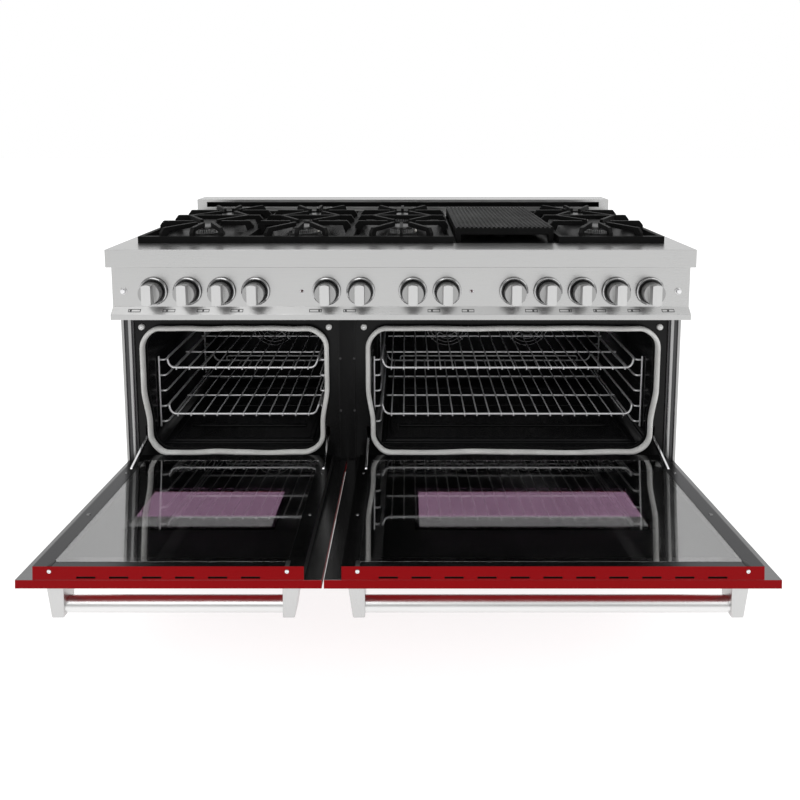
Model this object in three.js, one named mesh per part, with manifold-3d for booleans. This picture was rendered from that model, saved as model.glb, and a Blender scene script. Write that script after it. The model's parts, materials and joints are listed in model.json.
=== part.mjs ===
// Freestanding gas range with two ovens side by side, eight round burners and a griddle.
// Both oven doors are drop-down doors, shown open and resting on their stops.
//
// Millimetres, +Z up, +X to the right as the cook sees it, +Y to the back. Everything is laid
// out with Y = 0 at the front of the cooktop's edge and Z = 0 on the floor. The whole range is
// then moved along Y, so that the origin lies on the floor under the middle of its box.

import * as THREE from 'three';
import { mergeVertices } from 'three/addons/utils/BufferGeometryUtils.js';
import Module from 'manifold-3d';

// ---------------------------------------------------------------- driving dimensions

const GAP = 0.3; // between pieces that touch
const SHEET = 2.5; // folded sheet metal

// Cabinet
const WIDTH = 1524;
const DEPTH = 712;
const HEIGHT = 914; // cooktop surface above the floor
const LEG_HEIGHT = 110;
const LEG_INSET = 70; // leg centre from the cabinet's sides, front and back
const COLUMN_WIDTH = 32; // front face of a side panel
const BACK_INSET = 3; // back panel from the very back
const FOOT_R = 24;
const LEG_R = 20;
const LEG_NECK_R = 16;
const COLUMN_Y = 68;
const FACE_Y = 72; // front of the black oven face
const FACE_SHEET = 3;
const TOE_KICK_Y = 92;

// Cooktop
const EDGE_HEIGHT = 46.7; // front edge of the cooktop
const LEDGE = 83; // from the front edge to the burner well
const SIDE_LEDGE = 46; // from the sides to the burner well
const REAR_LEDGE = 81; // from the burner well to the backguard
const DECK_DROP = SHEET + GAP; // deck surface below the cooktop surface
const DECK_SHEET = 3;
const DECK_TUCK = 5; // deck edge hidden under the cooktop sheet
const SECTIONS = 5; // grate bays across the cooktop
const GRIDDLE_SECTION = 3; // counted from the left, from 0
const BURNER_PULL = 45; // the burners stand closer together than the quarters of the well

// Backguard
const BACKGUARD_DEPTH = 79;
const BACKGUARD_RISE = 48;
const VENT_BOTTOM = 20.4; // slot above the cooktop surface
const VENT_TOP = 37.7;
const VENT_END = 36; // from the slot's end to the side

// Burners and grates, heights above the cooktop surface
const BURNER_BASE_R = 52;
const BURNER_BASE_TOP = 8;
const BURNER_HEAD_R = 33;
const BURNER_HEAD_TOP = 18;
const BURNER_CAP_R = 29;
const BURNER_CAP_TOP = 25;
const GRATE_BAR = 12;
const GRATE_BAR_TOP = 18;
const GRATE_TOP = 40;
const FINGER_WIDTH = 9;
const FINGER_DEEP = 13;
const FINGER_REACH = 30; // finger tip from the burner's centre
const FINGER_FOOT = 14; // length of a finger's leg
const TIP_SIDE = 0.75; // slanting finger tips, as parts of that reach
const TIP_END = 0.7;
const CORNER_FINGER = 84; // slanting fingers from the middle of the grate, at its ends
const MIDDLE_FINGER = 90; // and at its middle bar
const SIDE_TIP = 42; // side finger tips from the burner's centre
const GRIDDLE_MARGIN = 27; // griddle edge from the front and back of its bay
const GRIDDLE_SIDE_MARGIN = 8;
const GRIDDLE_PLATE = 8;
const GRIDDLE_RIDGES = 22;
const RIDGE_HEIGHT = 4;
const GRIDDLE_LEG = 14;
const GRIDDLE_REAR_GAP = 17; // more room behind it than in front
const GRIDDLE_WALL = 6;

// Control panel
const PANEL_Y = 28.8;
const PANEL_FOLD = 159.1; // drops below the cooktop surface
const LIP_Y = 14.8;
const LIP_TOP = 176.6;
const LIP_BOTTOM = 190.9;
const KNOB_DROP = 117;
const FIRST_KNOB = 109; // first knob's centre from the left side
const LAST_KNOB = 104; // last knob's centre from the right side
const KNOB_STEPS = [0, 1, 2, 3, 5.08, 6.08, 7.61, 8.61, 10.57, 11.57, 12.57, 13.57, 14.57];
const OVEN_KNOBS = [4, 5, 6, 7];
const KNOB_R = 28;
const KNOB_BACK = 8; // knob's back from the panel
const KNOB_FACE = 29;
const GRIP_FACE = 44;
const GRIP_WIDTH = 26;
const SHAFT_R = 4;
const SHAFT_CLEARANCE = 1;
const SHAFT_LENGTH = 14; // behind the panel
const BUTTON_R = 8;
const BUTTON_INSET = 30; // lamp button's centre from the side
const BUTTON_PROUD = 6;

// Ovens, drops below the cooktop surface
const DOOR_TOP = 196;
const OVEN_TOP = 238;
const OVEN_HEIGHT = 339;
const OVEN_BACK = 194; // from the cavity's back wall to the back of the range
const LINER_SHEET = 3;
const LINER_CORNER_R = 30;
const MOUTH_CORNER_R = 47;
const MOUTH_LIP = 1.5; // oven face shows this much inside the gasket
const GASKET_WIDTH = 14;
const GASKET_DEPTH = 20.2;
const GASKET_PINCH = 13; // the seal steps inwards beside the hinge arms
const PINCH_START = 160; // drops below the oven's top
const PINCH_END = 262;

// Doors. Each is laid out shut: across X, up from the hinge axis (p), inwards from it (q)
const DOOR_SIDE = 5; // door edge from the cabinet's side
const DOOR_SEAM = 4;
const LEFT_DOOR_WIDTH = 605.5;
const LEFT_OVEN_MARGIN = 58.7; // cavity wall from the door's edge
const RIGHT_OVEN_MARGIN = 64.2;
const HINGE_Y = 26;
const HINGE_DROP = 26.5; // hinge axis below the oven's floor
const DOOR_OPEN = 85.8; // degrees
const SKIN_P0 = -38;
const SKIN_Q0 = -20;
const SKIN_THICK = 17.4;
const SKIN_RETURN = 60;
const FRAME_INSET = 35;
const FRAME_P0 = -15;
const FRAME_Q1 = 24.5;
const GLASS_SIDE = 34;
const GLASS_P0 = 12;
const GLASS_TOP_MARGIN = 13;
const GLASS_THICK = 4;
const WINDOW_TOP = 178; // below the door's top edge
const WINDOW_HEIGHT = 137;
const LEFT_WINDOW = [133, 143.5]; // window's side edges from the door's sides
const RIGHT_WINDOW = [192.5, 185];
const WINDOW_LAP = 10;
const SLOT_LENGTH = 38;
const SLOT_HEIGHT = 4;
const SLOT_PITCH = 65;
const SLOT_END = 90; // clear of slots at each end of the door
const HANDLE_R = 16;
const HANDLE_DROP = 45; // below the door's top edge
const HANDLE_STANDOFF = 65;
const HANDLE_END = [61, 65]; // bracket's middle from the left and right of the door
const BRACKET_WIDTH = 37;
const BRACKET_DEEP = 40;

// Hinge arms
const ARM_OUTSIDE = 7.5; // arm from the cavity's wall
const ARM_THICK = 6;
const ARM_HEIGHT = 12;
const ARM_LENGTH = 115;
const ARM_P = 47;
const ARM_Q = 20;
const ARM_RISE = 20.6; // degrees above level, with the door open
const ARM_PIN_R = 3;
const ARM_SIDE_GAP = 1.5;
const ARM_SLOT = [47.5, 88.5]; // slot in the oven face, above the hinge axis

// Racks and their guides
const WIRE = 6;
const THIN_WIRE = 4;
const WIRE_LAP = 0.8; // thin wires sunk into the end wires they are welded to
const RUNGS = 5;
const FIRST_RUNG = 111; // below the oven's top
const LAST_RUNG = 44; // above the oven's floor
const GUIDE_FRONT = 52.7; // front upright behind the oven's mouth
const GUIDE_BACK = 38; // rear upright from the back wall
const GUIDE_WALL_GAP = 2.5;
const GUIDE_REACH = 23; // rung's inner run from the wall
const RACK_FRONT = 53.7;
const RACK_BACK = 23;
const RACK_CROSS = [0, 0.309, 0.661, 1]; // cross wires, from front to back
const RACK_DROP = 28;
const RACK_BEND = 10;
const RUNG_CLEARANCE = 0.8; // rack's hangers from the rungs, sideways
const RACK_STOP_RISE = 17;
const RACK_STOP_INSET = 48;
const RACK_RUNGS = [3, 0];
const LEFT_WIRES = 11;
const RIGHT_WIRES = 20;

// ---------------------------------------------------------------- derived places

const HALF = WIDTH / 2;
const INSIDE = HALF - SHEET - GAP;
const EDGE_Z = HEIGHT - EDGE_HEIGHT;
const WELL = {
  x: HALF - SIDE_LEDGE,
  y0: LEDGE,
  y1: DEPTH - BACKGUARD_DEPTH - REAR_LEDGE,
};
const BAY = (2 * WELL.x) / SECTIONS;
const BAY_MIDDLE_Y = (WELL.y0 + WELL.y1) / 2;
const BURNER_SPREAD = (WELL.y1 - WELL.y0 - BURNER_PULL) / 4;
const KNOB_PITCH = (WIDTH - FIRST_KNOB - LAST_KNOB) / KNOB_STEPS.at(-1);
const KNOB_Z = HEIGHT - KNOB_DROP;
const OVEN_Z1 = HEIGHT - OVEN_TOP;
const OVEN_Z0 = OVEN_Z1 - OVEN_HEIGHT;
const OVEN_Y0 = FACE_Y + FACE_SHEET + GAP;
const OVEN_Y1 = DEPTH - OVEN_BACK;
const HINGE_Z = OVEN_Z0 - HINGE_DROP;
const DOOR_LENGTH = HEIGHT - DOOR_TOP - HINGE_Z;
const FACE_Z0 = HINGE_Z + SKIN_P0 - 7;
const GUIDE_Y = [OVEN_Y0 + GUIDE_FRONT, OVEN_Y1 - GUIDE_BACK];
const RACK_Y = RACK_CROSS.map((t) => THREE.MathUtils.lerp(OVEN_Y0 + RACK_FRONT, OVEN_Y1 - RACK_BACK, t));
const RUNG_PITCH = (OVEN_HEIGHT - FIRST_RUNG - LAST_RUNG) / (RUNGS - 1);
const SEAM_X = -HALF + DOOR_SIDE + LEFT_DOOR_WIDTH;

const OVENS = [
  oven('left', -HALF + DOOR_SIDE, SEAM_X, LEFT_OVEN_MARGIN, LEFT_WINDOW, LEFT_WIRES),
  oven('right', SEAM_X + DOOR_SEAM, HALF - DOOR_SIDE, RIGHT_OVEN_MARGIN, RIGHT_WINDOW, RIGHT_WIRES),
];

function oven(side, x0, x1, margin, window, wires) {
  return { side, x0, x1, x: (x0 + x1) / 2, half: (x1 - x0) / 2 - margin, window, wires };
}

// ---------------------------------------------------------------- finishes

function finish(color, roughness, metalness) {
  return new THREE.MeshStandardMaterial({ color, roughness, metalness });
}

const STAINLESS = finish(0xc6c6c4, 0.35, 1);
const BLACK_ENAMEL = finish(0x141414, 0.25, 0);
const CAST_IRON = finish(0x1c1c1c, 0.7, 0);
const RED_PAINT = finish(0x8c1418, 0.4, 0);
const CHROME = finish(0xdedede, 0.15, 1);
const DARK_GLASS = finish(0x101012, 0.05, 0);
const TINTED_GLASS = finish(0x6e5068, 0.1, 0);
const FIBREGLASS = finish(0xa5a5a3, 0.9, 0);
const GALVANISED = finish(0xa8aaab, 0.5, 1);

// ---------------------------------------------------------------- solids

const wasm = await Module();
wasm.setup();

// Turns a closed three.js geometry into a solid that can be joined and cut.
function solid(geometry) {
  const bare = geometry.clone();
  bare.deleteAttribute('normal');
  bare.deleteAttribute('uv');
  const merged = mergeVertices(bare);
  const vertProperties = new Float32Array(merged.attributes.position.array);
  const triVerts = new Uint32Array(merged.index.array);
  return new wasm.Manifold(new wasm.Mesh({ numProp: 3, vertProperties, triVerts }));
}

// Box between two corners, with the limits given axis by axis.
function box(x0, x1, y0, y1, z0, z1) {
  const geometry = new THREE.BoxGeometry(x1 - x0, y1 - y0, z1 - z0);
  geometry.translate((x0 + x1) / 2, (y0 + y1) / 2, (z0 + z1) / 2);
  return solid(geometry);
}

// Cylinder with its axis along Y (front to back), Z (up) or X (across).
function cylinder(axis, radius, from, to, x, y, z, sides = 16) {
  const geometry = new THREE.CylinderGeometry(radius, radius, to - from, sides);
  geometry.translate(0, (from + to) / 2, 0);
  if (axis === 'z') geometry.rotateX(Math.PI / 2);
  if (axis === 'x') geometry.rotateZ(-Math.PI / 2);
  geometry.translate(x, y, z);
  return solid(geometry);
}

function outline(points) {
  return new THREE.Shape(points.map(([u, v]) => new THREE.Vector2(u, v)));
}

// Outline drawn in (Y, Z), drawn out along X.
function alongX(points, x0, x1) {
  const geometry = new THREE.ExtrudeGeometry(outline(points), { depth: x1 - x0, bevelEnabled: false });
  geometry.applyMatrix4(new THREE.Matrix4().makeBasis(
    new THREE.Vector3(0, 1, 0), new THREE.Vector3(0, 0, 1), new THREE.Vector3(1, 0, 0)));
  geometry.translate(x0, 0, 0);
  return solid(geometry);
}

// Outline drawn in (X, Z), drawn out along Y.
function alongY(shape, y0, y1) {
  const geometry = new THREE.ExtrudeGeometry(shape, { depth: y1 - y0, bevelEnabled: false });
  geometry.rotateX(Math.PI / 2);
  geometry.translate(0, y1, 0);
  return solid(geometry);
}

// Outline drawn in (X, Y), drawn out along Z.
function alongZ(shape, z0, z1) {
  const geometry = new THREE.ExtrudeGeometry(shape, { depth: z1 - z0, bevelEnabled: false });
  geometry.translate(0, 0, z0);
  return solid(geometry);
}

function join(solids) {
  return solids.reduce((whole, piece) => whole.add(piece));
}

function cut(whole, tools) {
  return tools.reduce((rest, tool) => rest.subtract(tool), whole);
}

function piece(name, shape, material) {
  const { vertProperties, triVerts } = shape.getMesh();
  const geometry = new THREE.BufferGeometry();
  geometry.setAttribute('position', new THREE.BufferAttribute(new Float32Array(vertProperties), 3));
  geometry.setIndex(new THREE.BufferAttribute(new Uint32Array(triVerts), 1));
  geometry.computeVertexNormals();
  const mesh = new THREE.Mesh(geometry, material);
  mesh.name = name;
  return mesh;
}

const radians = THREE.MathUtils.degToRad;

// ---------------------------------------------------------------- cabinet

// Side panel: a tall sheet with a folded column at the front.
function sidePanel(name, side) {
  const z1 = EDGE_Z - GAP;
  const y1 = DEPTH - BACK_INSET;
  const sheet = box(HALF - SHEET, HALF, COLUMN_Y, y1, LEG_HEIGHT, z1);
  const column = box(HALF - COLUMN_WIDTH, HALF, COLUMN_Y, COLUMN_Y + SHEET, LEG_HEIGHT, z1);
  const fold = box(HALF - COLUMN_WIDTH, HALF - COLUMN_WIDTH + SHEET, COLUMN_Y, TOE_KICK_Y, LEG_HEIGHT, z1);
  const panel = join([sheet, column, fold]);
  return piece(name, side < 0 ? panel.mirror([1, 0, 0]) : panel, STAINLESS);
}

function basePan() {
  return piece('base_pan', box(-INSIDE, INSIDE, TOE_KICK_Y + SHEET + GAP,
    DEPTH - BACK_INSET - SHEET - GAP, LEG_HEIGHT, LEG_HEIGHT + SHEET), GALVANISED);
}

function backPanel() {
  return piece('back_panel', box(-INSIDE, INSIDE, DEPTH - BACK_INSET - SHEET,
    DEPTH - BACK_INSET, LEG_HEIGHT, EDGE_Z - GAP), GALVANISED);
}

function toeKick() {
  const half = HALF - COLUMN_WIDTH - GAP;
  return piece('toe_kick', box(-half, half, TOE_KICK_Y, TOE_KICK_Y + SHEET,
    LEG_HEIGHT, FACE_Z0 - GAP), STAINLESS);
}

// Adjustable leg: a wide foot under a narrower sleeve.
function leg(name, x, y) {
  const top = LEG_HEIGHT - GAP;
  const profile = [[0, 0], [FOOT_R, 0], [FOOT_R, 10], [LEG_NECK_R, 18], [LEG_NECK_R, 60],
    [LEG_R, 62], [LEG_R, top], [0, top]];
  const geometry = new THREE.LatheGeometry(profile.map(([r, z]) => new THREE.Vector2(r, z)), 12);
  geometry.rotateX(Math.PI / 2);
  geometry.translate(x, y, 0);
  return piece(name, solid(geometry), STAINLESS);
}

function legs() {
  const x = HALF - LEG_INSET;
  const front = TOE_KICK_Y + LEG_INSET / 2;
  const back = DEPTH - LEG_INSET;
  return [
    leg('leg_front_left', -x, front),
    leg('leg_front_right', x, front),
    leg('leg_rear_left', -x, back),
    leg('leg_rear_right', x, back),
  ];
}

// ---------------------------------------------------------------- cooktop

// Cooktop sheet with its deep front edge and side aprons, open over the burner well.
function cooktopSurround() {
  const rear = DEPTH - BACKGUARD_DEPTH - GAP;
  const outside = box(-HALF, HALF, 0, rear, EDGE_Z, HEIGHT);
  const hollow = box(-HALF + SHEET, HALF - SHEET, SHEET, rear - SHEET, EDGE_Z - 1, HEIGHT - SHEET);
  const foot = box(-HALF, HALF, 0, PANEL_Y - GAP, EDGE_Z, EDGE_Z + SHEET);
  const well = box(-WELL.x, WELL.x, WELL.y0, WELL.y1, HEIGHT - SHEET - 1, HEIGHT + 1);
  return piece('cooktop_surround', cut(outside, [hollow]).add(foot).subtract(well), STAINLESS);
}

function roundBurner(x, y) {
  const z0 = -DECK_DROP - 1;
  const profile = [[0, z0], [BURNER_BASE_R, z0], [BURNER_BASE_R - 6, BURNER_BASE_TOP],
    [BURNER_HEAD_R, BURNER_BASE_TOP], [BURNER_HEAD_R, BURNER_HEAD_TOP],
    [BURNER_CAP_R, BURNER_CAP_TOP], [0, BURNER_CAP_TOP]];
  const geometry = new THREE.LatheGeometry(profile.map(([r, z]) => new THREE.Vector2(r, z)), 12);
  geometry.rotateX(Math.PI / 2);
  geometry.translate(x, y, HEIGHT);
  return solid(geometry);
}

function oblongBurner(x, y) {
  const half = BURNER_SPREAD;
  const ring = new THREE.Shape();
  ring.absarc(x, y + half, BURNER_HEAD_R, 0, Math.PI, false);
  ring.absarc(x, y - half, BURNER_HEAD_R, Math.PI, 2 * Math.PI, false);
  const geometry = new THREE.ExtrudeGeometry(ring, {
    depth: BURNER_BASE_TOP + DECK_DROP + 1, bevelEnabled: false, curveSegments: 6 });
  geometry.translate(0, 0, HEIGHT - DECK_DROP - 1);
  return solid(geometry);
}

function bayX(index) {
  return (index - (SECTIONS - 1) / 2) * BAY;
}

// Black burner deck with the burners standing on it.
function burnerDeck() {
  const top = HEIGHT - DECK_DROP;
  const parts = [box(-WELL.x - DECK_TUCK, WELL.x + DECK_TUCK, WELL.y0 - DECK_TUCK,
    WELL.y1 + DECK_TUCK, top - DECK_SHEET, top)];
  for (let bay = 0; bay < SECTIONS; bay += 1) {
    if (bay === GRIDDLE_SECTION) {
      parts.push(oblongBurner(bayX(bay), BAY_MIDDLE_Y));
    } else {
      parts.push(roundBurner(bayX(bay), BAY_MIDDLE_Y - BURNER_SPREAD));
      parts.push(roundBurner(bayX(bay), BAY_MIDDLE_Y + BURNER_SPREAD));
    }
  }
  return piece('burner_deck', join(parts), BLACK_ENAMEL);
}

// Raised bar from one point to another, with a leg down to the frame at its first end.
function finger(x0, y0, x1, y1, legged = true) {
  const length = Math.hypot(x1 - x0, y1 - y0);
  const foot = GRATE_BAR_TOP - 6;
  const low = GRATE_TOP - FINGER_DEEP;
  const points = legged
    ? [[0, foot - GRATE_BAR], [FINGER_FOOT, foot - GRATE_BAR], [FINGER_FOOT + 10, low], [length, low],
      [length, GRATE_TOP], [FINGER_FOOT - 4, GRATE_TOP], [0, low]]
    : [[0, low], [length, low], [length, GRATE_TOP], [0, GRATE_TOP]];
  const geometry = new THREE.ExtrudeGeometry(outline(points), { depth: FINGER_WIDTH, bevelEnabled: false });
  geometry.translate(0, 0, -FINGER_WIDTH / 2);
  geometry.rotateX(Math.PI / 2);
  geometry.rotateZ(Math.atan2(y1 - y0, x1 - x0));
  geometry.translate(x0, y0, HEIGHT);
  return solid(geometry);
}

// Cast grate over two burners: a low frame, raised fingers and a full bar across the middle.
function grate(name, bay) {
  const x = bayX(bay);
  const half = BAY / 2 - GAP;
  const y0 = WELL.y0 + GAP;
  const y1 = WELL.y1 - GAP;
  const z0 = HEIGHT - DECK_DROP + GAP;
  const z1 = HEIGHT + GRATE_BAR_TOP;
  const frame = cut(box(x - half, x + half, y0, y1, z0, z1),
    [box(x - half + GRATE_BAR, x + half - GRATE_BAR, y0 + GRATE_BAR, y1 - GRATE_BAR, z0 - 1, z1 + 1)]);
  const edge = half - GRATE_BAR / 2;
  const parts = [frame];
  for (const end of [-1, 1]) {
    const burnerY = BAY_MIDDLE_Y + end * BURNER_SPREAD;
    const frameY = (end < 0 ? y0 : y1) - end * GRATE_BAR / 2;
    parts.push(finger(x, frameY, x, burnerY + end * FINGER_REACH));
    for (const side of [-1, 1]) {
      const tipX = x + side * FINGER_REACH * TIP_SIDE;
      const tipY = end * FINGER_REACH * TIP_END;
      parts.push(finger(x + side * CORNER_FINGER, frameY, tipX, burnerY + tipY));
      parts.push(finger(x + side * edge, burnerY, x + side * SIDE_TIP, burnerY));
      parts.push(finger(x + side * MIDDLE_FINGER, BAY_MIDDLE_Y, tipX, burnerY - tipY, false));
    }
  }
  for (const side of [-1, 1]) {
    parts.push(finger(x + side * edge, BAY_MIDDLE_Y, x - side * 1, BAY_MIDDLE_Y));
  }
  return piece(name, join(parts), CAST_IRON);
}

// Ribbed griddle plate on a shallow skirt and legs.
function griddle() {
  const x = bayX(GRIDDLE_SECTION);
  const half = BAY / 2 - GRIDDLE_SIDE_MARGIN;
  const y0 = WELL.y0 + GRIDDLE_MARGIN;
  const y1 = WELL.y1 - GRIDDLE_MARGIN - GRIDDLE_REAR_GAP;
  const top = HEIGHT + GRATE_TOP;
  const pitch = (2 * half) / GRIDDLE_RIDGES;
  const ridges = new THREE.Shape();
  ridges.moveTo(x - half, top - GRIDDLE_PLATE);
  ridges.lineTo(x + half, top - GRIDDLE_PLATE);
  for (let i = GRIDDLE_RIDGES; i > 0; i -= 1) {
    const right = x - half + i * pitch;
    ridges.lineTo(right, top - RIDGE_HEIGHT);
    ridges.lineTo(right - pitch * 0.25, top);
    ridges.lineTo(right - pitch * 0.55, top);
    ridges.lineTo(right - pitch * 0.8, top - RIDGE_HEIGHT);
  }
  ridges.lineTo(x - half, top - RIDGE_HEIGHT);
  const under = top - GRIDDLE_PLATE;
  const skirt = cut(box(x - half, x + half, y0, y1, HEIGHT + GRATE_BAR_TOP, under + 0.5),
    [box(x - half + GRIDDLE_WALL, x + half - GRIDDLE_WALL, y0 + GRIDDLE_WALL, y1 - GRIDDLE_WALL,
      HEIGHT, under + 1)]);
  const parts = [alongY(ridges, y0, y1), skirt];
  for (const fx of [-1, 1]) {
    for (const fy of [y0, y1 - GRIDDLE_LEG]) {
      const inner = x + fx * (half - GRIDDLE_LEG);
      const outer = x + fx * half;
      parts.push(box(Math.min(inner, outer), Math.max(inner, outer), fy, fy + GRIDDLE_LEG,
        HEIGHT - DECK_DROP + GAP, under + 0.5));
    }
  }
  return piece('griddle', join(parts), CAST_IRON);
}

// Backguard: a box along the back with a long exhaust slot in front.
function backguard() {
  const y0 = DEPTH - BACKGUARD_DEPTH;
  const top = HEIGHT + BACKGUARD_RISE;
  const shell = cut(box(-HALF, HALF, y0, DEPTH, EDGE_Z, top), [
    box(-HALF + SHEET, HALF - SHEET, y0 + SHEET, DEPTH - SHEET, EDGE_Z - 1, top - SHEET),
    box(-HALF + VENT_END, HALF - VENT_END, y0 - 1, y0 + SHEET + 1, HEIGHT + VENT_BOTTOM, HEIGHT + VENT_TOP),
  ]);
  return piece('backguard', shell, STAINLESS);
}

// ---------------------------------------------------------------- controls

function knobX(index) {
  return -HALF + FIRST_KNOB + KNOB_STEPS[index] * KNOB_PITCH;
}

// Control panel: a folded sheet with a lip over the doors and a plate at each end.
function controlPanel() {
  const top = EDGE_Z - GAP;
  const bottom = HEIGHT - LIP_BOTTOM;
  const rear = COLUMN_Y - GAP;
  const face = [[PANEL_Y, top], [PANEL_Y, HEIGHT - PANEL_FOLD], [LIP_Y, HEIGHT - LIP_TOP], [LIP_Y, bottom]];
  const sheet = [...face, [rear, bottom], [rear, bottom + SHEET], [LIP_Y + SHEET, bottom + SHEET],
    [LIP_Y + SHEET, HEIGHT - LIP_TOP - 1], [PANEL_Y + SHEET, HEIGHT - PANEL_FOLD - 1], [PANEL_Y + SHEET, top]];
  const end = [...face, [rear, bottom], [rear, top]];
  const shell = join([
    alongX(sheet, -HALF + 1, HALF - 1),
    alongX(end, -HALF, -HALF + SHEET),
    alongX(end, HALF - SHEET, HALF),
  ]);
  const behind = PANEL_Y + SHEET + 1;
  const holes = KNOB_STEPS.map((_, i) => cylinder('y', SHAFT_R + SHAFT_CLEARANCE,
    PANEL_Y - 1, behind, knobX(i), 0, KNOB_Z, 8));
  for (const side of [-1, 1]) {
    const x = side * (HALF - BUTTON_INSET);
    holes.push(cylinder('y', BUTTON_R + 1, PANEL_Y - 1, behind, x, 0, KNOB_Z, 10));
  }
  return piece('control_panel', cut(shell, holes), STAINLESS);
}

// Knob: a round body with a grip bar across its face, on a shaft that passes the panel.
function knob(name, x) {
  const body = cylinder('y', KNOB_R, PANEL_Y - KNOB_FACE, PANEL_Y - KNOB_BACK, x, 0, KNOB_Z, 18);
  const front = cylinder('y', KNOB_R, PANEL_Y - GRIP_FACE, PANEL_Y - KNOB_FACE + 1, x, 0, KNOB_Z, 18);
  const bar = box(x - GRIP_WIDTH / 2, x + GRIP_WIDTH / 2, PANEL_Y - GRIP_FACE - 1, PANEL_Y - KNOB_FACE + 2,
    KNOB_Z - KNOB_R - 1, KNOB_Z + KNOB_R + 1);
  const shaft = cylinder('y', SHAFT_R, PANEL_Y - KNOB_BACK - 1, PANEL_Y + SHAFT_LENGTH, x, 0, KNOB_Z, 8);
  return piece(name, join([body, front.intersect(bar), shaft]), STAINLESS);
}

function knobs() {
  return KNOB_STEPS.map((_, i) => {
    const kind = OVEN_KNOBS.includes(i) ? 'oven' : 'burner';
    const order = KNOB_STEPS.slice(0, i + 1)
      .filter((step, j) => OVEN_KNOBS.includes(j) === OVEN_KNOBS.includes(i)).length;
    return knob(`${kind}_knob_${order}`, knobX(i));
  });
}

function lampButton(name, side) {
  return piece(name, cylinder('y', BUTTON_R, PANEL_Y - BUTTON_PROUD, PANEL_Y + SHEET + 8,
    side * (HALF - BUTTON_INSET), 0, KNOB_Z, 12), CHROME);
}

// ---------------------------------------------------------------- ovens

function roundedRect(x0, x1, z0, z1, r) {
  const shape = new THREE.Shape();
  shape.absarc(x1 - r, z1 - r, r, 0, Math.PI / 2, false);
  shape.absarc(x0 + r, z1 - r, r, Math.PI / 2, Math.PI, false);
  shape.absarc(x0 + r, z0 + r, r, Math.PI, 1.5 * Math.PI, false);
  shape.absarc(x1 - r, z0 + r, r, 1.5 * Math.PI, 2 * Math.PI, false);
  return outline(shape.extractPoints(4).shape.map((v) => [v.x, v.y]));
}

// How far the seal has stepped inwards at a height.
function pinch(z) {
  const t = THREE.MathUtils.clamp((OVEN_Z1 - z - PINCH_START) / (PINCH_END - PINCH_START), 0, 1);
  return GASKET_PINCH * t * t * (3 - 2 * t);
}

// Closed line round an oven's mouth, grown outwards and narrowed beside the hinge arms.
function mouthLine(place, grow, radius, arc) {
  const points = [];
  const half = place.half + grow;
  const z0 = OVEN_Z0 - grow;
  const z1 = OVEN_Z1 + grow;
  const corners = [[1, z1, 0], [-1, z1, 90], [-1, z0, 180], [1, z0, 270]];
  for (const [side, z, start] of corners) {
    const middleX = side * (half - radius);
    const middleZ = z + (z === z1 ? -radius : radius);
    for (let i = 0; i <= arc; i += 1) {
      const angle = radians(start + (90 * i) / arc);
      points.push([middleX + radius * Math.cos(angle), middleZ + radius * Math.sin(angle)]);
    }
    if (start === 90 || start === 270) {
      const steps = [0.2, 0.35, 0.5, 0.65, 0.8];
      const low = z0 + radius;
      const high = z1 - radius;
      for (const step of steps) {
        const t = start === 90 ? 1 - step : step;
        points.push([side * half, low + (high - low) * t]);
      }
    }
  }
  return points.map(([x, height]) => [place.x + x - Math.sign(x) * pinch(height), height]);
}

// Black oven face with both mouths and a slot for each hinge arm.
function ovenFace() {
  const half = HALF - COLUMN_WIDTH - GAP;
  const cuts = [];
  for (const place of OVENS) {
    cuts.push(alongY(outline(mouthLine(place, -MOUTH_LIP, MOUTH_CORNER_R, 4)),
      FACE_Y - 1, FACE_Y + FACE_SHEET + 1));
    for (const x of armPlaces(place)) {
      cuts.push(box(x - ARM_THICK / 2 - ARM_SIDE_GAP, x + ARM_THICK / 2 + ARM_SIDE_GAP,
        FACE_Y - 1, FACE_Y + FACE_SHEET + 1, HINGE_Z + ARM_SLOT[0], HINGE_Z + ARM_SLOT[1]));
    }
  }
  const sheet = box(-half, half, FACE_Y, FACE_Y + FACE_SHEET, FACE_Z0, HEIGHT - PANEL_FOLD);
  return piece('oven_face', cut(sheet, cuts), BLACK_ENAMEL);
}

// Enamelled oven cavity, open at the front.
function ovenLiner(place) {
  const x0 = place.x - place.half;
  const x1 = place.x + place.half;
  const t = LINER_SHEET;
  const outer = alongY(roundedRect(x0 - t, x1 + t, OVEN_Z0 - t, OVEN_Z1 + t, LINER_CORNER_R + t),
    OVEN_Y0, OVEN_Y1 + t);
  const inner = alongY(roundedRect(x0, x1, OVEN_Z0, OVEN_Z1, LINER_CORNER_R), OVEN_Y0 - 1, OVEN_Y1);
  return piece(`${place.side}_oven_liner`, outer.subtract(inner), BLACK_ENAMEL);
}

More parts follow.
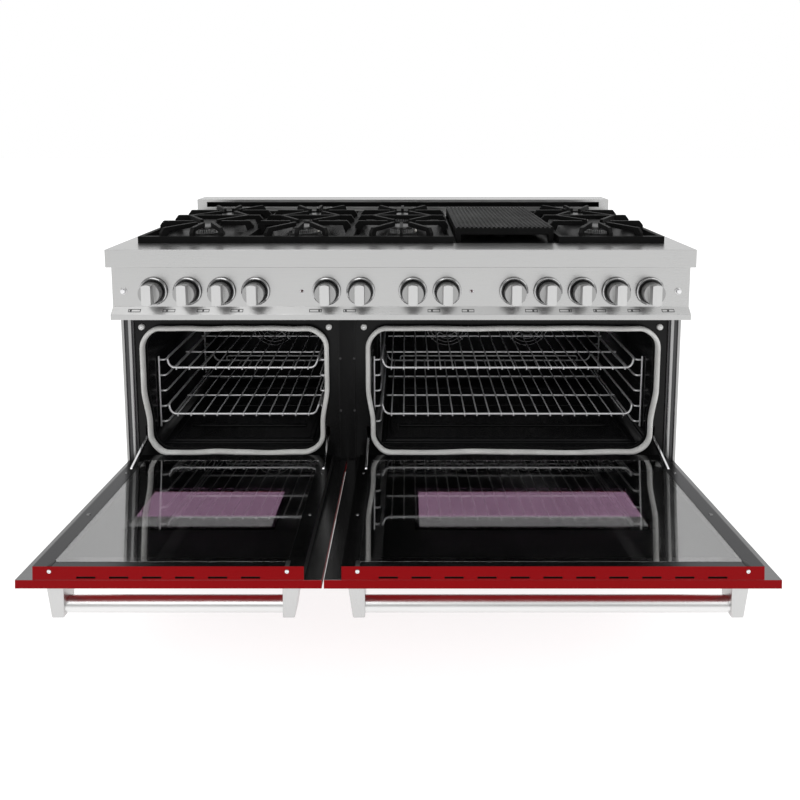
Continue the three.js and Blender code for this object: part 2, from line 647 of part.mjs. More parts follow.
// Door seal: an oval tube round the oven's mouth.
function gasket(place) {
  const centre = mouthLine(place, GASKET_WIDTH / 2, MOUTH_CORNER_R + GASKET_WIDTH / 2 + MOUTH_LIP, 4);
  const sides = 6;
  const middleY = FACE_Y - GAP - GASKET_DEPTH / 2;
  const positions = [];
  const index = [];
  const count = centre.length;
  for (let i = 0; i < count; i += 1) {
    const before = centre[(i + count - 1) % count];
    const after = centre[(i + 1) % count];
    const along = new THREE.Vector2(after[0] - before[0], after[1] - before[1]).normalize();
    for (let j = 0; j < sides; j += 1) {
      const angle = (j / sides) * 2 * Math.PI;
      const out = (Math.cos(angle) * GASKET_WIDTH) / 2;
      positions.push(centre[i][0] + along.y * out, middleY + (Math.sin(angle) * GASKET_DEPTH) / 2,
        centre[i][1] - along.x * out);
      const a = i * sides + j;
      const b = i * sides + ((j + 1) % sides);
      const c = ((i + 1) % count) * sides + j;
      const d = ((i + 1) % count) * sides + ((j + 1) % sides);
      index.push(a, b, d, a, d, c);
    }
  }
  const tube = new wasm.Manifold(new wasm.Mesh({
    numProp: 3, vertProperties: new Float32Array(positions), triVerts: new Uint32Array(index) }));
  return piece(`${place.side}_oven_gasket`, tube, FIBREGLASS);
}

function rungZ(rung) {
  return OVEN_Z1 - FIRST_RUNG - rung * RUNG_PITCH;
}

// Wire ladder on a side wall: two uprights and five U-shaped rungs.
function rackGuide(place, side, name) {
  const w = WIRE / 2;
  const wall = place.half - GUIDE_WALL_GAP;
  const run = place.half - GUIDE_REACH;
  const parts = GUIDE_Y.map((y) => box(wall - WIRE, wall, y - w, y + w,
    rungZ(RUNGS - 1) - 12, rungZ(0) + 12));
  const u = [[wall - w, GUIDE_Y[0] - w], [wall - w, GUIDE_Y[0] + w], [run + w, GUIDE_Y[0] + w],
    [run + w, GUIDE_Y[1] - w], [wall - w, GUIDE_Y[1] - w], [wall - w, GUIDE_Y[1] + w],
    [run - w, GUIDE_Y[1] + w], [run - w, GUIDE_Y[0] - w]];
  for (let rung = 0; rung < RUNGS; rung += 1) {
    const z = rungZ(rung);
    parts.push(alongZ(outline(u), z - w + 0.5, z + w - 0.5));
  }
  const ladder = join(parts);
  return piece(name, (side < 0 ? ladder.mirror([1, 0, 0]) : ladder).translate([place.x, 0, 0]), CHROME);
}

// Wire rack: side rails on a pair of rungs, a dropped platform and a raised stop at the back.
function rack(place, rung, name) {
  const w = WIRE / 2;
  const rail = place.half - GUIDE_REACH - w;
  const railZ = rungZ(rung) + WIRE + GAP;
  const low = railZ - RACK_DROP;
  const front = RACK_Y[0];
  const back = RACK_Y.at(-1);
  const inner = rail - RACK_BEND;
  const parts = [];
  for (const side of [-1, 1]) {
    const x = side * rail;
    parts.push(box(x - w, x + w, front - w, back + w, railZ - w, railZ + w));
  }
  for (const y of RACK_Y) {
    const floor = low - (y === front || y === back ? 0 : WIRE_LAP + GAP);
    const hanger = [[-rail - 1, railZ + 1], [-rail - 1, railZ - 1], [-rail + RUNG_CLEARANCE, railZ - w],
      [-inner - w, floor - w], [inner + w, floor - w], [rail - RUNG_CLEARANCE, railZ - w],
      [rail + 1, railZ - 1], [rail + 1, railZ + 1], [rail - w - 1, railZ - w - 1], [inner - w, floor + w],
      [-inner + w, floor + w], [-rail + w + 1, railZ - w - 1]];
    parts.push(alongY(outline(hanger), y - w + 0.2, y + w - 0.2));
  }
  const pitch = (2 * inner) / place.wires;
  const t = THIN_WIRE / 2;
  for (let i = 0; i < place.wires; i += 1) {
    const x = -inner + (i + 0.5) * pitch;
    parts.push(box(x - t, x + t, front - w + 0.5, back + w - 0.5,
      low + w - WIRE_LAP, low + w - WIRE_LAP + THIN_WIRE));
  }
  const stop = rail - RACK_STOP_INSET;
  const stopZ = low + RACK_STOP_RISE;
  parts.push(box(-stop - w, stop + w, back - w + 0.6, back + w - 0.6, stopZ - t, stopZ + t));
  for (const side of [-1, 1]) {
    const x = side * stop;
    parts.push(box(x - w, x + w, back - w + 0.6, back + w - 0.6, low, stopZ));
  }
  return piece(name, join(parts).translate([place.x, 0, 0]), CHROME);
}

// ---------------------------------------------------------------- doors

function armPlaces(place) {
  return [-1, 1].map((side) => place.x + side * (place.half + ARM_OUTSIDE));
}

// Painted outer skin: a shallow box, open at the back inside a wide return, with a window.
function outerSkin(place) {
  const q1 = SKIN_Q0 + SKIN_THICK;
  const t = SHEET;
  const r = SKIN_RETURN;
  const whole = box(place.x0, place.x1, SKIN_Q0, q1, SKIN_P0, DOOR_LENGTH);
  const window = windowPlace(place);
  return piece(`${place.side}_door_outer_skin`, cut(whole, [
    box(place.x0 + t, place.x1 - t, SKIN_Q0 + t, q1 - t, SKIN_P0 + t, DOOR_LENGTH - t),
    box(place.x0 + r, place.x1 - r, q1 - t - 1, q1 + 1, SKIN_P0 + r, DOOR_LENGTH - r),
    box(window.x0, window.x1, SKIN_Q0 - 1, SKIN_Q0 + t + 1, window.p0, window.p1),
  ]), RED_PAINT);
}

function windowPlace(place) {
  const p1 = DOOR_LENGTH - WINDOW_TOP;
  return { x0: place.x0 + place.window[0], x1: place.x1 - place.window[1], p0: p1 - WINDOW_HEIGHT, p1 };
}

function windowPane(place) {
  const window = windowPlace(place);
  const q0 = SKIN_Q0 + SHEET + GAP;
  return piece(`${place.side}_door_window`, box(window.x0 - WINDOW_LAP, window.x1 + WINDOW_LAP,
    q0, q0 + GLASS_THICK, window.p0 - WINDOW_LAP, window.p1 + WINDOW_LAP), TINTED_GLASS);
}

function framePlace(place) {
  const x0 = place.x0 + FRAME_INSET;
  const x1 = place.x1 - FRAME_INSET;
  return { x0, x1, glass0: x0 + GLASS_SIDE, glass1: x1 - GLASS_SIDE };
}

// Inner frame: a deep tray round the inner glass, with vent slots along its top edge and a
// slot and pin for each hinge arm.
function innerFrame(place) {
  const frame = framePlace(place);
  const q0 = SKIN_Q0 + SKIN_THICK + GAP;
  const t = SHEET;
  const cuts = [
    box(frame.x0 + t, frame.x1 - t, q0 - 1, FRAME_Q1 - t, FRAME_P0 + t, DOOR_LENGTH - t),
    box(frame.glass0, frame.glass1, FRAME_Q1 - t - 1, FRAME_Q1 + 1,
      GLASS_P0, DOOR_LENGTH - GLASS_TOP_MARGIN),
  ];
  const slotQ = (SKIN_Q0 + FRAME_Q1) / 2;
  const slots = Math.floor((place.x1 - place.x0 - 2 * SLOT_END - SLOT_LENGTH) / SLOT_PITCH) + 1;
  for (let i = 0; i < slots; i += 1) {
    const x = place.x + (i - (slots - 1) / 2) * SLOT_PITCH;
    cuts.push(box(x - SLOT_LENGTH / 2, x + SLOT_LENGTH / 2,
      slotQ - SLOT_HEIGHT / 2, slotQ + SLOT_HEIGHT / 2, DOOR_LENGTH - t - 1, DOOR_LENGTH + 1));
  }
  const slotHalf = ARM_THICK / 2 + ARM_SIDE_GAP;
  const pins = [];
  for (const x of armPlaces(place)) {
    cuts.push(box(x - slotHalf, x + slotHalf, FRAME_Q1 - t - 1, FRAME_Q1 + 1, ARM_P - 26, ARM_P + 13));
    pins.push(cylinder('x', ARM_PIN_R, -slotHalf - 3, slotHalf + 3, x, ARM_Q, ARM_P, 8));
  }
  const tray = cut(box(frame.x0, frame.x1, q0, FRAME_Q1, FRAME_P0, DOOR_LENGTH), cuts);
  return piece(`${place.side}_door_inner_frame`, join([tray, ...pins]), RED_PAINT);
}

function innerGlass(place) {
  const frame = framePlace(place);
  return piece(`${place.side}_door_inner_glass`, box(frame.glass0 + GAP, frame.glass1 - GAP,
    FRAME_Q1 - GLASS_THICK, FRAME_Q1, GLASS_P0 + GAP, DOOR_LENGTH - GLASS_TOP_MARGIN - GAP), DARK_GLASS);
}

// Handle: a round bar between two tapered brackets.
function handle(place) {
  const p = DOOR_LENGTH - HANDLE_DROP;
  const q = SKIN_Q0 - HANDLE_STANDOFF;
  const base = SKIN_Q0 - GAP;
  const ends = [place.x0 + HANDLE_END[0], place.x1 - HANDLE_END[1]];
  const parts = [cylinder('x', HANDLE_R, ends[0], ends[1], 0, q, p, 18)];
  for (const x of ends) {
    const bracket = outline([[x - BRACKET_WIDTH / 2, base], [x + BRACKET_WIDTH / 2, base],
      [x + BRACKET_WIDTH / 3, q - HANDLE_R], [x - BRACKET_WIDTH / 3, q - HANDLE_R]]);
    parts.push(alongZ(bracket, p - BRACKET_DEEP / 2, p + BRACKET_DEEP / 2));
  }
  return piece(`${place.side}_door_handle`, join(parts), CHROME);
}

// Hinge arm: a flat link from a pin in the door, through the oven face.
function hingeArm(name, x) {
  const half = ARM_HEIGHT / 2;
  const link = new THREE.Shape();
  link.absarc(0, 0, half, Math.PI / 2, 1.5 * Math.PI, false);
  link.absarc(ARM_LENGTH - half, 0, half, 1.5 * Math.PI, 2.5 * Math.PI, false);
  const points = link.extractPoints(4).shape.map((v) => [v.x, v.y]);
  const plate = alongX(points, x - ARM_THICK / 2, x + ARM_THICK / 2);
  const hole = cylinder('x', ARM_PIN_R + 0.6, x - ARM_THICK, x + ARM_THICK, 0, 0, 0, 8);
  const mesh = piece(name, plate.subtract(hole), CHROME);
  mesh.position.set(0, ARM_Q, ARM_P);
  mesh.rotation.x = radians(ARM_RISE - DOOR_OPEN);
  return mesh;
}

// A door with its handle, glass and hinge arms, hung on its hinge axis and opened.
function door(place) {
  const hung = new THREE.Group();
  hung.add(outerSkin(place), windowPane(place), innerFrame(place), innerGlass(place), handle(place));
  armPlaces(place).forEach((x, i) => {
    hung.add(hingeArm(`${place.side}_door_hinge_arm_${i === 0 ? 'left' : 'right'}`, x));
  });
  hung.position.set(0, HINGE_Y, HINGE_Z);
  hung.rotation.x = radians(DOOR_OPEN);
  return hung;
}

// ---------------------------------------------------------------- assembly

const group = new THREE.Group();
group.add(sidePanel('left_side_panel', -1), sidePanel('right_side_panel', 1));
group.add(basePan(), backPanel(), toeKick(), ...legs());
group.add(cooktopSurround(), burnerDeck(), backguard());
group.add(controlPanel(), ...knobs());
group.add(lampButton('left_lamp_button', -1), lampButton('right_lamp_button', 1));
for (let bay = 0, count = 0; bay < SECTIONS; bay += 1) {
  if (bay !== GRIDDLE_SECTION) {
    count += 1;
    group.add(grate(`grate_${count}`, bay));
  }
}
group.add(griddle(), ovenFace());
for (const place of OVENS) {
  group.add(ovenLiner(place), gasket(place));
  group.add(rackGuide(place, -1, `${place.side}_oven_rack_guide_left`));
  group.add(rackGuide(place, 1, `${place.side}_oven_rack_guide_right`));
  group.add(rack(place, RACK_RUNGS[0], `${place.side}_oven_lower_rack`));
  group.add(rack(place, RACK_RUNGS[1], `${place.side}_oven_upper_rack`));
  group.add(door(place));
}

// The box runs from the open doors' top edges to the back of the backguard.
const open = radians(DOOR_OPEN);
const frontY = HINGE_Y - DOOR_LENGTH * Math.sin(open) + SKIN_Q0 * Math.cos(open);
group.position.y = -(frontY + DEPTH) / 2;

export default group;
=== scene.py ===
"""Twin-oven gas range: finishes, wirework, trim and studio round its fixed frame, in metres."""

import json
import math

import bpy
from mathutils import Matrix, Vector


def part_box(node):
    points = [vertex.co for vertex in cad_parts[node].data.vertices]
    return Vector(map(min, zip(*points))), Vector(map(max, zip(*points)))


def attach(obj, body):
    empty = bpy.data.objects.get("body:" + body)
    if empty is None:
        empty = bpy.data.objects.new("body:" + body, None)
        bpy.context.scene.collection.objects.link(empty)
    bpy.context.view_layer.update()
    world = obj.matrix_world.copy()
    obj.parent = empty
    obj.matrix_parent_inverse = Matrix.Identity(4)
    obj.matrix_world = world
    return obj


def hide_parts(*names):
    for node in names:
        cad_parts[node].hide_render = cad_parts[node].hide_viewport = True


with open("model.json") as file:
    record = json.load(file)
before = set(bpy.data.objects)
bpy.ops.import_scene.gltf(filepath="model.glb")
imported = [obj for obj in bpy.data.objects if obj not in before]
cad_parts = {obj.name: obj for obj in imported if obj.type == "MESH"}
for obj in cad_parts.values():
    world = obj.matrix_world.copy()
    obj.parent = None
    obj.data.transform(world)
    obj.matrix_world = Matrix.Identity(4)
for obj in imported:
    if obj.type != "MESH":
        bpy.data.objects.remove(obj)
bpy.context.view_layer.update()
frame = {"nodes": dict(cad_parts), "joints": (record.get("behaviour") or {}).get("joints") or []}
nodes = frame["nodes"]

# ---------------------------------------------------------------- measures

SIDES = ("left", "right")
QUARTER = math.pi / 2

# knobs and panel trim
KNOB_RADIUS = 0.028
KNOB_BACK = 0.008  # knob's back from the panel
KNOB_FACE = 0.029  # knob's shoulder from the panel
KNOB_DEPTH = 0.044  # grip's face from the panel
GRIP_WIDTH = 0.026
SHAFT_RADIUS = 0.004
SHAFT_END = -0.014  # behind the panel
BEZEL_PROFILE = ((0.038, 0), (0.038, 0.0028), (0.0368, 0.0056), (0.0345, 0.0066), (0.0318, 0.006),
                 (0.0305, 0.0046), (0.0302, 0.0012))
BEZEL_TICKS = 11
BEZEL_SWEEP = 270  # degrees
BEZEL_TICK_RADIUS = 0.0338
JEWEL_X = (-0.261, 0.187)
JEWEL_HOLDER = ((0.0055, 0), (0.0055, 0.001), (0.0046, 0.0018), (0.0034, 0.0012))
JEWEL_LENS = ((0.0033, 0), (0.0033, 0.0015), (0.0026, 0.0027), (0.0012, 0.0032))
LABEL_X = (-0.702, -0.611, -0.521, -0.432, -0.225, -0.135, 0.087, 0.177,
           0.344, 0.434, 0.524, 0.614, 0.704)
LABEL_SIZE = (0.033, 0.0085)
LIP_FRONT = 0.014  # lip's edge in front of the panel
LIP_DROP = 0.0175  # slope's height
COOKTOP_ABOVE_PANEL = 0.0469
LIP_BELOW_COOKTOP = 0.1591

# burners
BURNER_SPREAD = 0.106  # from a grate's middle
HEAD_RADIUS = 0.0345
HEAD_TOP = 0.0185  # above the cooktop surface
CAP_TOP = 0.0268
PORTS = 36
IGNITER_X = 0.0415  # from a burner's middle

# ovens
WALL = 0.003
MOUTH_LIP = 0.0015
MOUTH_CORNER = 0.047
SEAL_WIDTH = 0.014
SEAL_DEPTH = 0.0202
SEAL_STEP = 0.013  # the seal steps inwards beside the hinge arms
STEP_START = 0.160  # drops below the oven's top
STEP_END = 0.262
FAN_X = (-0.457, 0.158, 0.441)
FAN_Z = 0.529
FAN_RINGS = (0.014, 0.026, 0.038, 0.05, 0.062, 0.074)
FAN_PLATE = ((0.08, 0), (0.08, 0.0008), (0.078, 0.0016), (0.020, 0.0012))
FAN_HUB = ((0.009, 0.001), (0.009, 0.0065), (0.007, 0.008))
WIRE = 0.003
THIN_WIRE = 0.002
RUNGS = 5
RACK_DROP = 0.028
RACK_BEND = 0.010
RACK_CLEARANCE = 0.0012  # lets the rear bends slide past the rungs
RACK_CROSS = (0.309, 0.661)
STOP_INSET = 0.048
STOP_RISE = 0.017
RACK_WIRES = {"left": 11, "right": 20}
STUD_X = (-0.709, -0.1975, -0.1016, 0.707)
STUD_Z = 0.684
STRIP_X = (-0.172, -0.125)
STRIP_SCREWS = ((-0.167, 0.595), (-0.129, 0.595), (-0.167, 0.446), (-0.129, 0.446))

# doors, in their own frame: x along the door, q through it from its outside, p up from the hinge
DOOR_OPEN = math.radians(85.8)
DOOR_TOP = 0.4075
SKIN_OUTSIDE = -0.020
SKIN_INSIDE = -0.0026
DOOR_INSIDE = 0.0245
HANDLE_RADIUS = 0.016
HANDLE_P = 0.3625
HANDLE_Q = -0.085
HANDLE_ENDS = {"left": (-0.696, -0.2165), "right": (-0.0865, 0.692)}
BRACKET_WIDTH = 0.037
BRACKET_DEEP = 0.040
BRACKET_TAPER = 0.67
WINDOW_P = (0.0925, 0.2295)
WINDOW_SHADE_BAND = 0.033  # band at the window's upper edge: untinted glass, darkened grey as painted shade
WINDOW_Q = -0.0152
TOP_SCREWS = {"left": (-0.689, -0.220), "right": (-0.081, 0.690)}
TOP_SCREW_Q = 0.0145
SIDE_SCREW_P = (0.075, 0.245)

# back panel
VENT_COLUMN = 0.42
VENT_ROWS = 9
VENT_FIRST = 0.56
VENT_PITCH = 0.026
VENT_HALF = 0.11
VENT_HEIGHT = 0.010
COVER_HALF = 0.09
COVER_Z = (0.30, 0.42)
INLET_PLACE = (0.56, 0.33)
INLET = ((0.024, 0), (0.024, 0.0018), (0.021, 0.0025), (0.014, 0.0025), (0.013, 0.0006))

# camera and studio
CAMERA_PITCH = math.radians(5)
CAMERA_PLACE = (0.0188, -1.55897, 1.2263)
CAMERA_LENS = 24.8
CAMERA_SHIFT = (-0.01, -0.28)


# ---------------------------------------------------------------- shader groups

def new_group(name, inputs, outputs):
    """A new shader group, with its given values, its results and object coordinates."""
    group = bpy.data.node_groups.new(name, "ShaderNodeTree")
    for socket, value in inputs.items():
        kind = "NodeSocketVector" if isinstance(value, tuple) else "NodeSocketFloat"
        made = group.interface.new_socket(socket, in_out="INPUT", socket_type=kind)
        made.default_value = value
    for socket in outputs:
        group.interface.new_socket(socket, in_out="OUTPUT", socket_type="NodeSocketFloat")
    given = group.nodes.new("NodeGroupInput").outputs
    results = group.nodes.new("NodeGroupOutput").inputs
    return group, given, results, group.nodes.new("ShaderNodeTexCoord").outputs["Object"]


def feed(tree, socket, value):
    """Links a socket to another one, or sets it to a plain value."""
    if isinstance(value, bpy.types.NodeSocket):
        tree.links.new(value, socket)
    elif isinstance(value, (tuple, list)) and len(value) == 3 and socket.type == "RGBA":
        socket.default_value = (*value, 1)
    else:
        socket.default_value = value


def node(tree, kind, settings=None, **inputs):
    """A shader node with its settings made and its inputs fed."""
    made = tree.nodes.new(kind)
    for key, value in (settings or {}).items():
        setattr(made, key, value)
    for key, value in inputs.items():
        feed(tree, made.inputs[key.replace("_", " ")], value)
    return made


def calculated(tree, operation, first, second=0.0):
    made = tree.nodes.new("ShaderNodeMath")
    made.operation = operation
    made.use_clamp = operation in ("ADD", "SUBTRACT", "MULTIPLY")
    feed(tree, made.inputs[0], first)
    feed(tree, made.inputs[1], second)
    return made.outputs[0]


def ranged(tree, value, low, high, to_low, to_high):
    made = tree.nodes.new("ShaderNodeMapRange")
    for socket, amount in zip(made.inputs, (value, low, high, to_low, to_high)):
        feed(tree, socket, amount)
    return made.outputs[0]


def blended(tree, factor, first, second):
    """A colour that runs from first to second as factor goes from 0 to 1."""
    made = tree.nodes.new("ShaderNodeMix")
    made.data_type = "RGBA"
    feed(tree, made.inputs[0], factor)
    feed(tree, made.inputs[6], first)
    feed(tree, made.inputs[7], second)
    return made.outputs[2]


def grain_group():
    """Fine lines or grit: noise stretched along one direction."""
    group, given, results, place = new_group(
        "surface_grain", {"Stretch": (1, 1, 1), "Scale": 100.0}, ("Amount",))
    stretched = node(group, "ShaderNodeMapping", Vector=place, Scale=given["Stretch"])
    noise = node(group, "ShaderNodeTexNoise", Vector=stretched.outputs[0], Scale=given["Scale"],
                 Detail=4.0, Roughness=0.6)
    feed(group, results["Amount"], ranged(group, noise.outputs[0], 0.3, 0.7, 0.0, 1.0))
    return group


def cloud_group():
    """Broad, soft unevenness, as of polish, oil and age."""
    group, given, results, place = new_group("soft_clouding", {"Scale": 4.0}, ("Amount",))
    noise = node(group, "ShaderNodeTexNoise", Vector=place, Scale=given["Scale"],
                 Detail=3.0, Roughness=0.55, Distortion=0.4)
    feed(group, results["Amount"], ranged(group, noise.outputs[0], 0.34, 0.66, 0.0, 1.0))
    return group


def wear_group():
    """Edges and corners, where a finish is rubbed, broken up by noise."""
    group, given, results, place = new_group("edge_wear", {"Reach": 0.002}, ("Mask",))
    eased = node(group, "ShaderNodeBevel", {"samples": 4}, Radius=given["Reach"])
    surface = node(group, "ShaderNodeNewGeometry")
    dot = node(group, "ShaderNodeVectorMath", {"operation": "DOT_PRODUCT"})
    feed(group, dot.inputs[0], eased.outputs[0])
    feed(group, dot.inputs[1], surface.outputs["Normal"])
    noise = node(group, "ShaderNodeTexNoise", Vector=place, Scale=60.0, Detail=5.0)
    edge = ranged(group, dot.outputs["Value"], 0.995, 0.86, 0.0, 1.0)
    broken = ranged(group, noise.outputs[0], 0.4, 0.6, 0.25, 1.0)
    feed(group, results["Mask"], calculated(group, "MULTIPLY", edge, broken))
    return group


def fleck_group():
    """Tiny flecks, as fired into enamel."""
    group, given, results, place = new_group("enamel_fleck", {"Scale": 260.0}, ("Mask",))
    cells = node(group, "ShaderNodeTexVoronoi", Vector=place, Scale=given["Scale"])
    pick = node(group, "ShaderNodeTexNoise", Vector=place, Scale=90.0)
    dot = ranged(group, cells.outputs["Distance"], 0.16, 0.1, 0.0, 1.0)
    chosen = ranged(group, pick.outputs[0], 0.56, 0.6, 0.0, 1.0)
    feed(group, results["Mask"], calculated(group, "MULTIPLY", dot, chosen))
    return group


def braid_group():
    """Crossed strands of a glass fibre braid, with loose fuzz."""
    group, given, results, place = new_group("fibre_braid", {"Pitch": 150.0}, ("Height", "Shade"))
    strands = []
    for lean in (1, -1):
        leaning = node(group, "ShaderNodeMapping", Vector=place, Rotation=(0.6 * lean, 0.785 * lean, 0.5))
        wave = node(group, "ShaderNodeTexWave", Vector=leaning.outputs[0], Scale=given["Pitch"],
                    Distortion=1.5, Detail=2.0)
        strands.append(wave.outputs["Fac"])
    fuzz = node(group, "ShaderNodeTexNoise", Vector=place, Scale=900.0, Detail=3.0)
    crossed = calculated(group, "MAXIMUM", *strands)
    half_fuzz = calculated(group, "MULTIPLY", fuzz.outputs[0], 0.5)
    height = calculated(group, "ADD", calculated(group, "MULTIPLY", crossed, 0.6), half_fuzz)
    feed(group, results["Height"], height)
    feed(group, results["Shade"], ranged(group, height, 0.25, 0.85, 0.0, 1.0))
    return group


GRAIN = grain_group()
CLOUDS = cloud_group()
WEAR = wear_group()
FLECKS = fleck_group()
BRAID = braid_group()


def grouped(tree, group, output, **inputs):
    """A shader group placed in a material with its own values."""
    made = tree.nodes.new("ShaderNodeGroup")
    made.node_tree = group
    for key, value in inputs.items():
        feed(tree, made.inputs[key], value)
    return made.outputs[output]


# ---------------------------------------------------------------- finishes

def plain_shader(name, **sockets):
    made = bpy.data.materials.new(name)
    made.use_nodes = True
    shader = made.node_tree.nodes["Principled BSDF"]
    for key, value in sockets.items():
        feed(made.node_tree, shader.inputs[key.replace("_", " ")], value)
    return made, made.node_tree, shader


def surfaced(name, colour, roughness, stretch=(1, 1, 1), scale=400.0, shade=0.06, uneven=0.05, bump=0.1,
             clouds=3.0, wear=None, flecks=None, **sockets):
    """A finish with fine grain, soft clouding and, where given, worn edges or flecks."""
    made, tree, shader = plain_shader(name, **sockets)
    grain = grouped(tree, GRAIN, "Amount", Stretch=stretch, Scale=scale)
    cloud = grouped(tree, CLOUDS, "Amount", Scale=clouds)
    mixed = ranged(tree, calculated(tree, "ADD", calculated(tree, "MULTIPLY", grain, 0.5),
                                    calculated(tree, "MULTIPLY", cloud, 0.5)), 0.0, 1.0, 0.0, 1.0)
    dark = tuple(channel * (1 - shade) for channel in colour)
    light = tuple(min(1.0, channel * (1 + shade)) for channel in colour)
    painted = blended(tree, mixed, dark, light)
    rough = ranged(tree, mixed, 0.0, 1.0, max(0.02, roughness - uneven), roughness + uneven)
    if flecks:
        painted = blended(tree, grouped(tree, FLECKS, "Mask"), painted, flecks)
    if wear:
        reach, worn_colour, worn_roughness = wear
        mask = grouped(tree, WEAR, "Mask", Reach=reach)
        painted = blended(tree, mask, painted, worn_colour)
        rough = ranged(tree, mask, 0.0, 1.0, rough, worn_roughness)
    feed(tree, shader.inputs["Base Color"], painted)
    feed(tree, shader.inputs["Roughness"], rough)
    relief = node(tree, "ShaderNodeBump", Strength=bump, Distance=0.0006, Height=grain)
    feed(tree, shader.inputs["Normal"], relief.outputs[0])
    return made


def braided(name):
    """Grey glass fibre braid of the oven seals."""
    made, tree, shader = plain_shader(name, Sheen_Weight=0.25, Sheen_Roughness=0.6)
    height = grouped(tree, BRAID, "Height")
    shade = grouped(tree, BRAID, "Shade")
    soiled = grouped(tree, CLOUDS, "Amount", Scale=14.0)
    clean = blended(tree, shade, (0.47, 0.47, 0.46), (0.80, 0.80, 0.78))
    feed(tree, shader.inputs["Base Color"], blended(tree, calculated(tree, "MULTIPLY", soiled, 0.35),
                                                    clean, (0.30, 0.29, 0.28)))
    feed(tree, shader.inputs["Roughness"], ranged(tree, shade, 0.0, 1.0, 0.95, 0.8))
    relief = node(tree, "ShaderNodeBump", Strength=0.7, Distance=0.0008, Height=height)
    feed(tree, shader.inputs["Normal"], relief.outputs[0])
    return made


def door_glass(name):
    """Inner door glass: smoked, mirror-like and a little smeared."""
    made, tree, shader = plain_shader(name, Metallic=0.0, Transmission_Weight=1.0, IOR=2.7)
    smear = grouped(tree, CLOUDS, "Amount", Scale=6.0)
    feed(tree, shader.inputs["Base Color"], blended(tree, smear, (0.70, 0.70, 0.70), (0.76, 0.76, 0.76)))
    feed(tree, shader.inputs["Roughness"], ranged(tree, smear, 0.0, 1.0, 0.012, 0.05))
    relief = node(tree, "ShaderNodeBump", Strength=0.02, Distance=0.001, Height=smear)
    feed(tree, shader.inputs["Normal"], relief.outputs[0])
    return made


def window_pane(name):
    """Outer window pane: violet, with a band of untinted glass along its upper edge that is painted dark
    grey as shade.
    """
    made, tree, shader = plain_shader(name, Metallic=0.0, Transmission_Weight=1.0, IOR=1.5)
    place = node(tree, "ShaderNodeTexCoord")
    split = node(tree, "ShaderNodeSeparateXYZ", Vector=place.outputs["Object"])
    tint_end = door_point(0, WINDOW_Q, WINDOW_P[1] - WINDOW_SHADE_BAND).y
    clear = ranged(tree, split.outputs["Y"], tint_end + 0.0005, tint_end - 0.0005, 0.0, 1.0)
    smear = grouped(tree, CLOUDS, "Amount", Scale=8.0)
    violet = blended(tree, smear, (0.87, 0.52, 0.81), (0.91, 0.56, 0.85))
    # Painted shade: the untinted band takes a dark grey tint.
    feed(tree, shader.inputs["Base Color"], blended(tree, clear, violet, (0.27, 0.27, 0.27)))
    feed(tree, shader.inputs["Roughness"], ranged(tree, smear, 0.0, 1.0, 0.01, 0.05))
    return made


def door_point(x, q, p):
    """A point of the open doors, from the doors' own frame."""
    turned_by = Matrix.Rotation(DOOR_OPEN, 4, "X")
    return Vector((x, *HINGE[1:])) + (turned_by @ Vector((0, q, p)))


def on_door(point):
    """A point of the open doors in the doors' own frame."""
    return Matrix.Rotation(-DOOR_OPEN, 4, "X") @ (point - Vector((0, *HINGE[1:])))


HINGE = next(joint["pos_m"] for joint in frame["joints"] if joint["name"] == "left_door_hinge")

ALONG = (0.02, 1, 1)  # stretches grain along X
UPRIGHT = (1, 1, 0.03)


def metal(name, colour, roughness, stretch=(1, 1, 1), scale=400.0, **looks):
    """A bare or plated metal finish."""
    return surfaced(name, colour, roughness, stretch, scale, Metallic=1.0, **looks)


STAINLESS = metal("stainless", (0.48, 0.48, 0.477), 0.30, ALONG, 900.0, shade=0.05, uneven=0.06,
                  bump=0.08, clouds=2.2)
SATIN_STEEL = metal("satin_steel", (0.74, 0.74, 0.735), 0.33, ALONG, 1100.0, shade=0.05, bump=0.05,
                    wear=(0.001, (0.80, 0.80, 0.80), 0.18))
BRACKET_STEEL = metal("bracket_steel", (0.56, 0.56, 0.557), 0.30, UPRIGHT, 1100.0, shade=0.05,
                      bump=0.05, wear=(0.001, (0.78, 0.78, 0.78), 0.18))
TRIM_STEEL = metal("trim_steel", (0.34, 0.34, 0.338), 0.30, UPRIGHT, 900.0, shade=0.06, bump=0.05)
BEZEL_STEEL = metal("bezel_steel", (0.46, 0.46, 0.462), 0.14, shade=0.05, uneven=0.05, bump=0.03)
# Painted shade: a darker copy of the knob steel, for the knob's shoulder and skirt.
KNOB_SHADED_BODY = metal("knob_body_painted_shade", (0.33, 0.33, 0.328), 0.28, UPRIGHT, 1400.0, shade=0.06, bump=0.08)
KNOB_STEEL = metal("knob_steel", (0.55, 0.55, 0.547), 0.31, UPRIGHT, 1400.0, shade=0.06, bump=0.08,
                   wear=(0.001, (0.82, 0.82, 0.82), 0.18))
CHROME = metal("chrome", (0.74, 0.74, 0.75), 0.09, shade=0.03, uneven=0.04, bump=0.02)
CHROME_WIRE = surfaced("chrome_wire", (0.76, 0.76, 0.77), 0.30, shade=0.06, uneven=0.05, bump=0.05,
                       clouds=9.0, Metallic=0.6)
GALVANISED = metal("galvanised", (0.50, 0.51, 0.52), 0.48, scale=70.0, shade=0.16, uneven=0.1,
                   bump=0.06)
BLACK_ENAMEL = surfaced("black_enamel", (0.007, 0.007, 0.0075), 0.15, scale=260.0, shade=0.2,
                        uneven=0.05, bump=0.06, flecks=(0.06, 0.06, 0.06), Specular_IOR_Level=0.20)
DECK_ENAMEL = surfaced("deck_enamel", (0.005, 0.005, 0.005), 0.30, scale=260.0, shade=0.2, uneven=0.06,
                       bump=0.08, flecks=(0.03, 0.03, 0.03), Specular_IOR_Level=0.08)
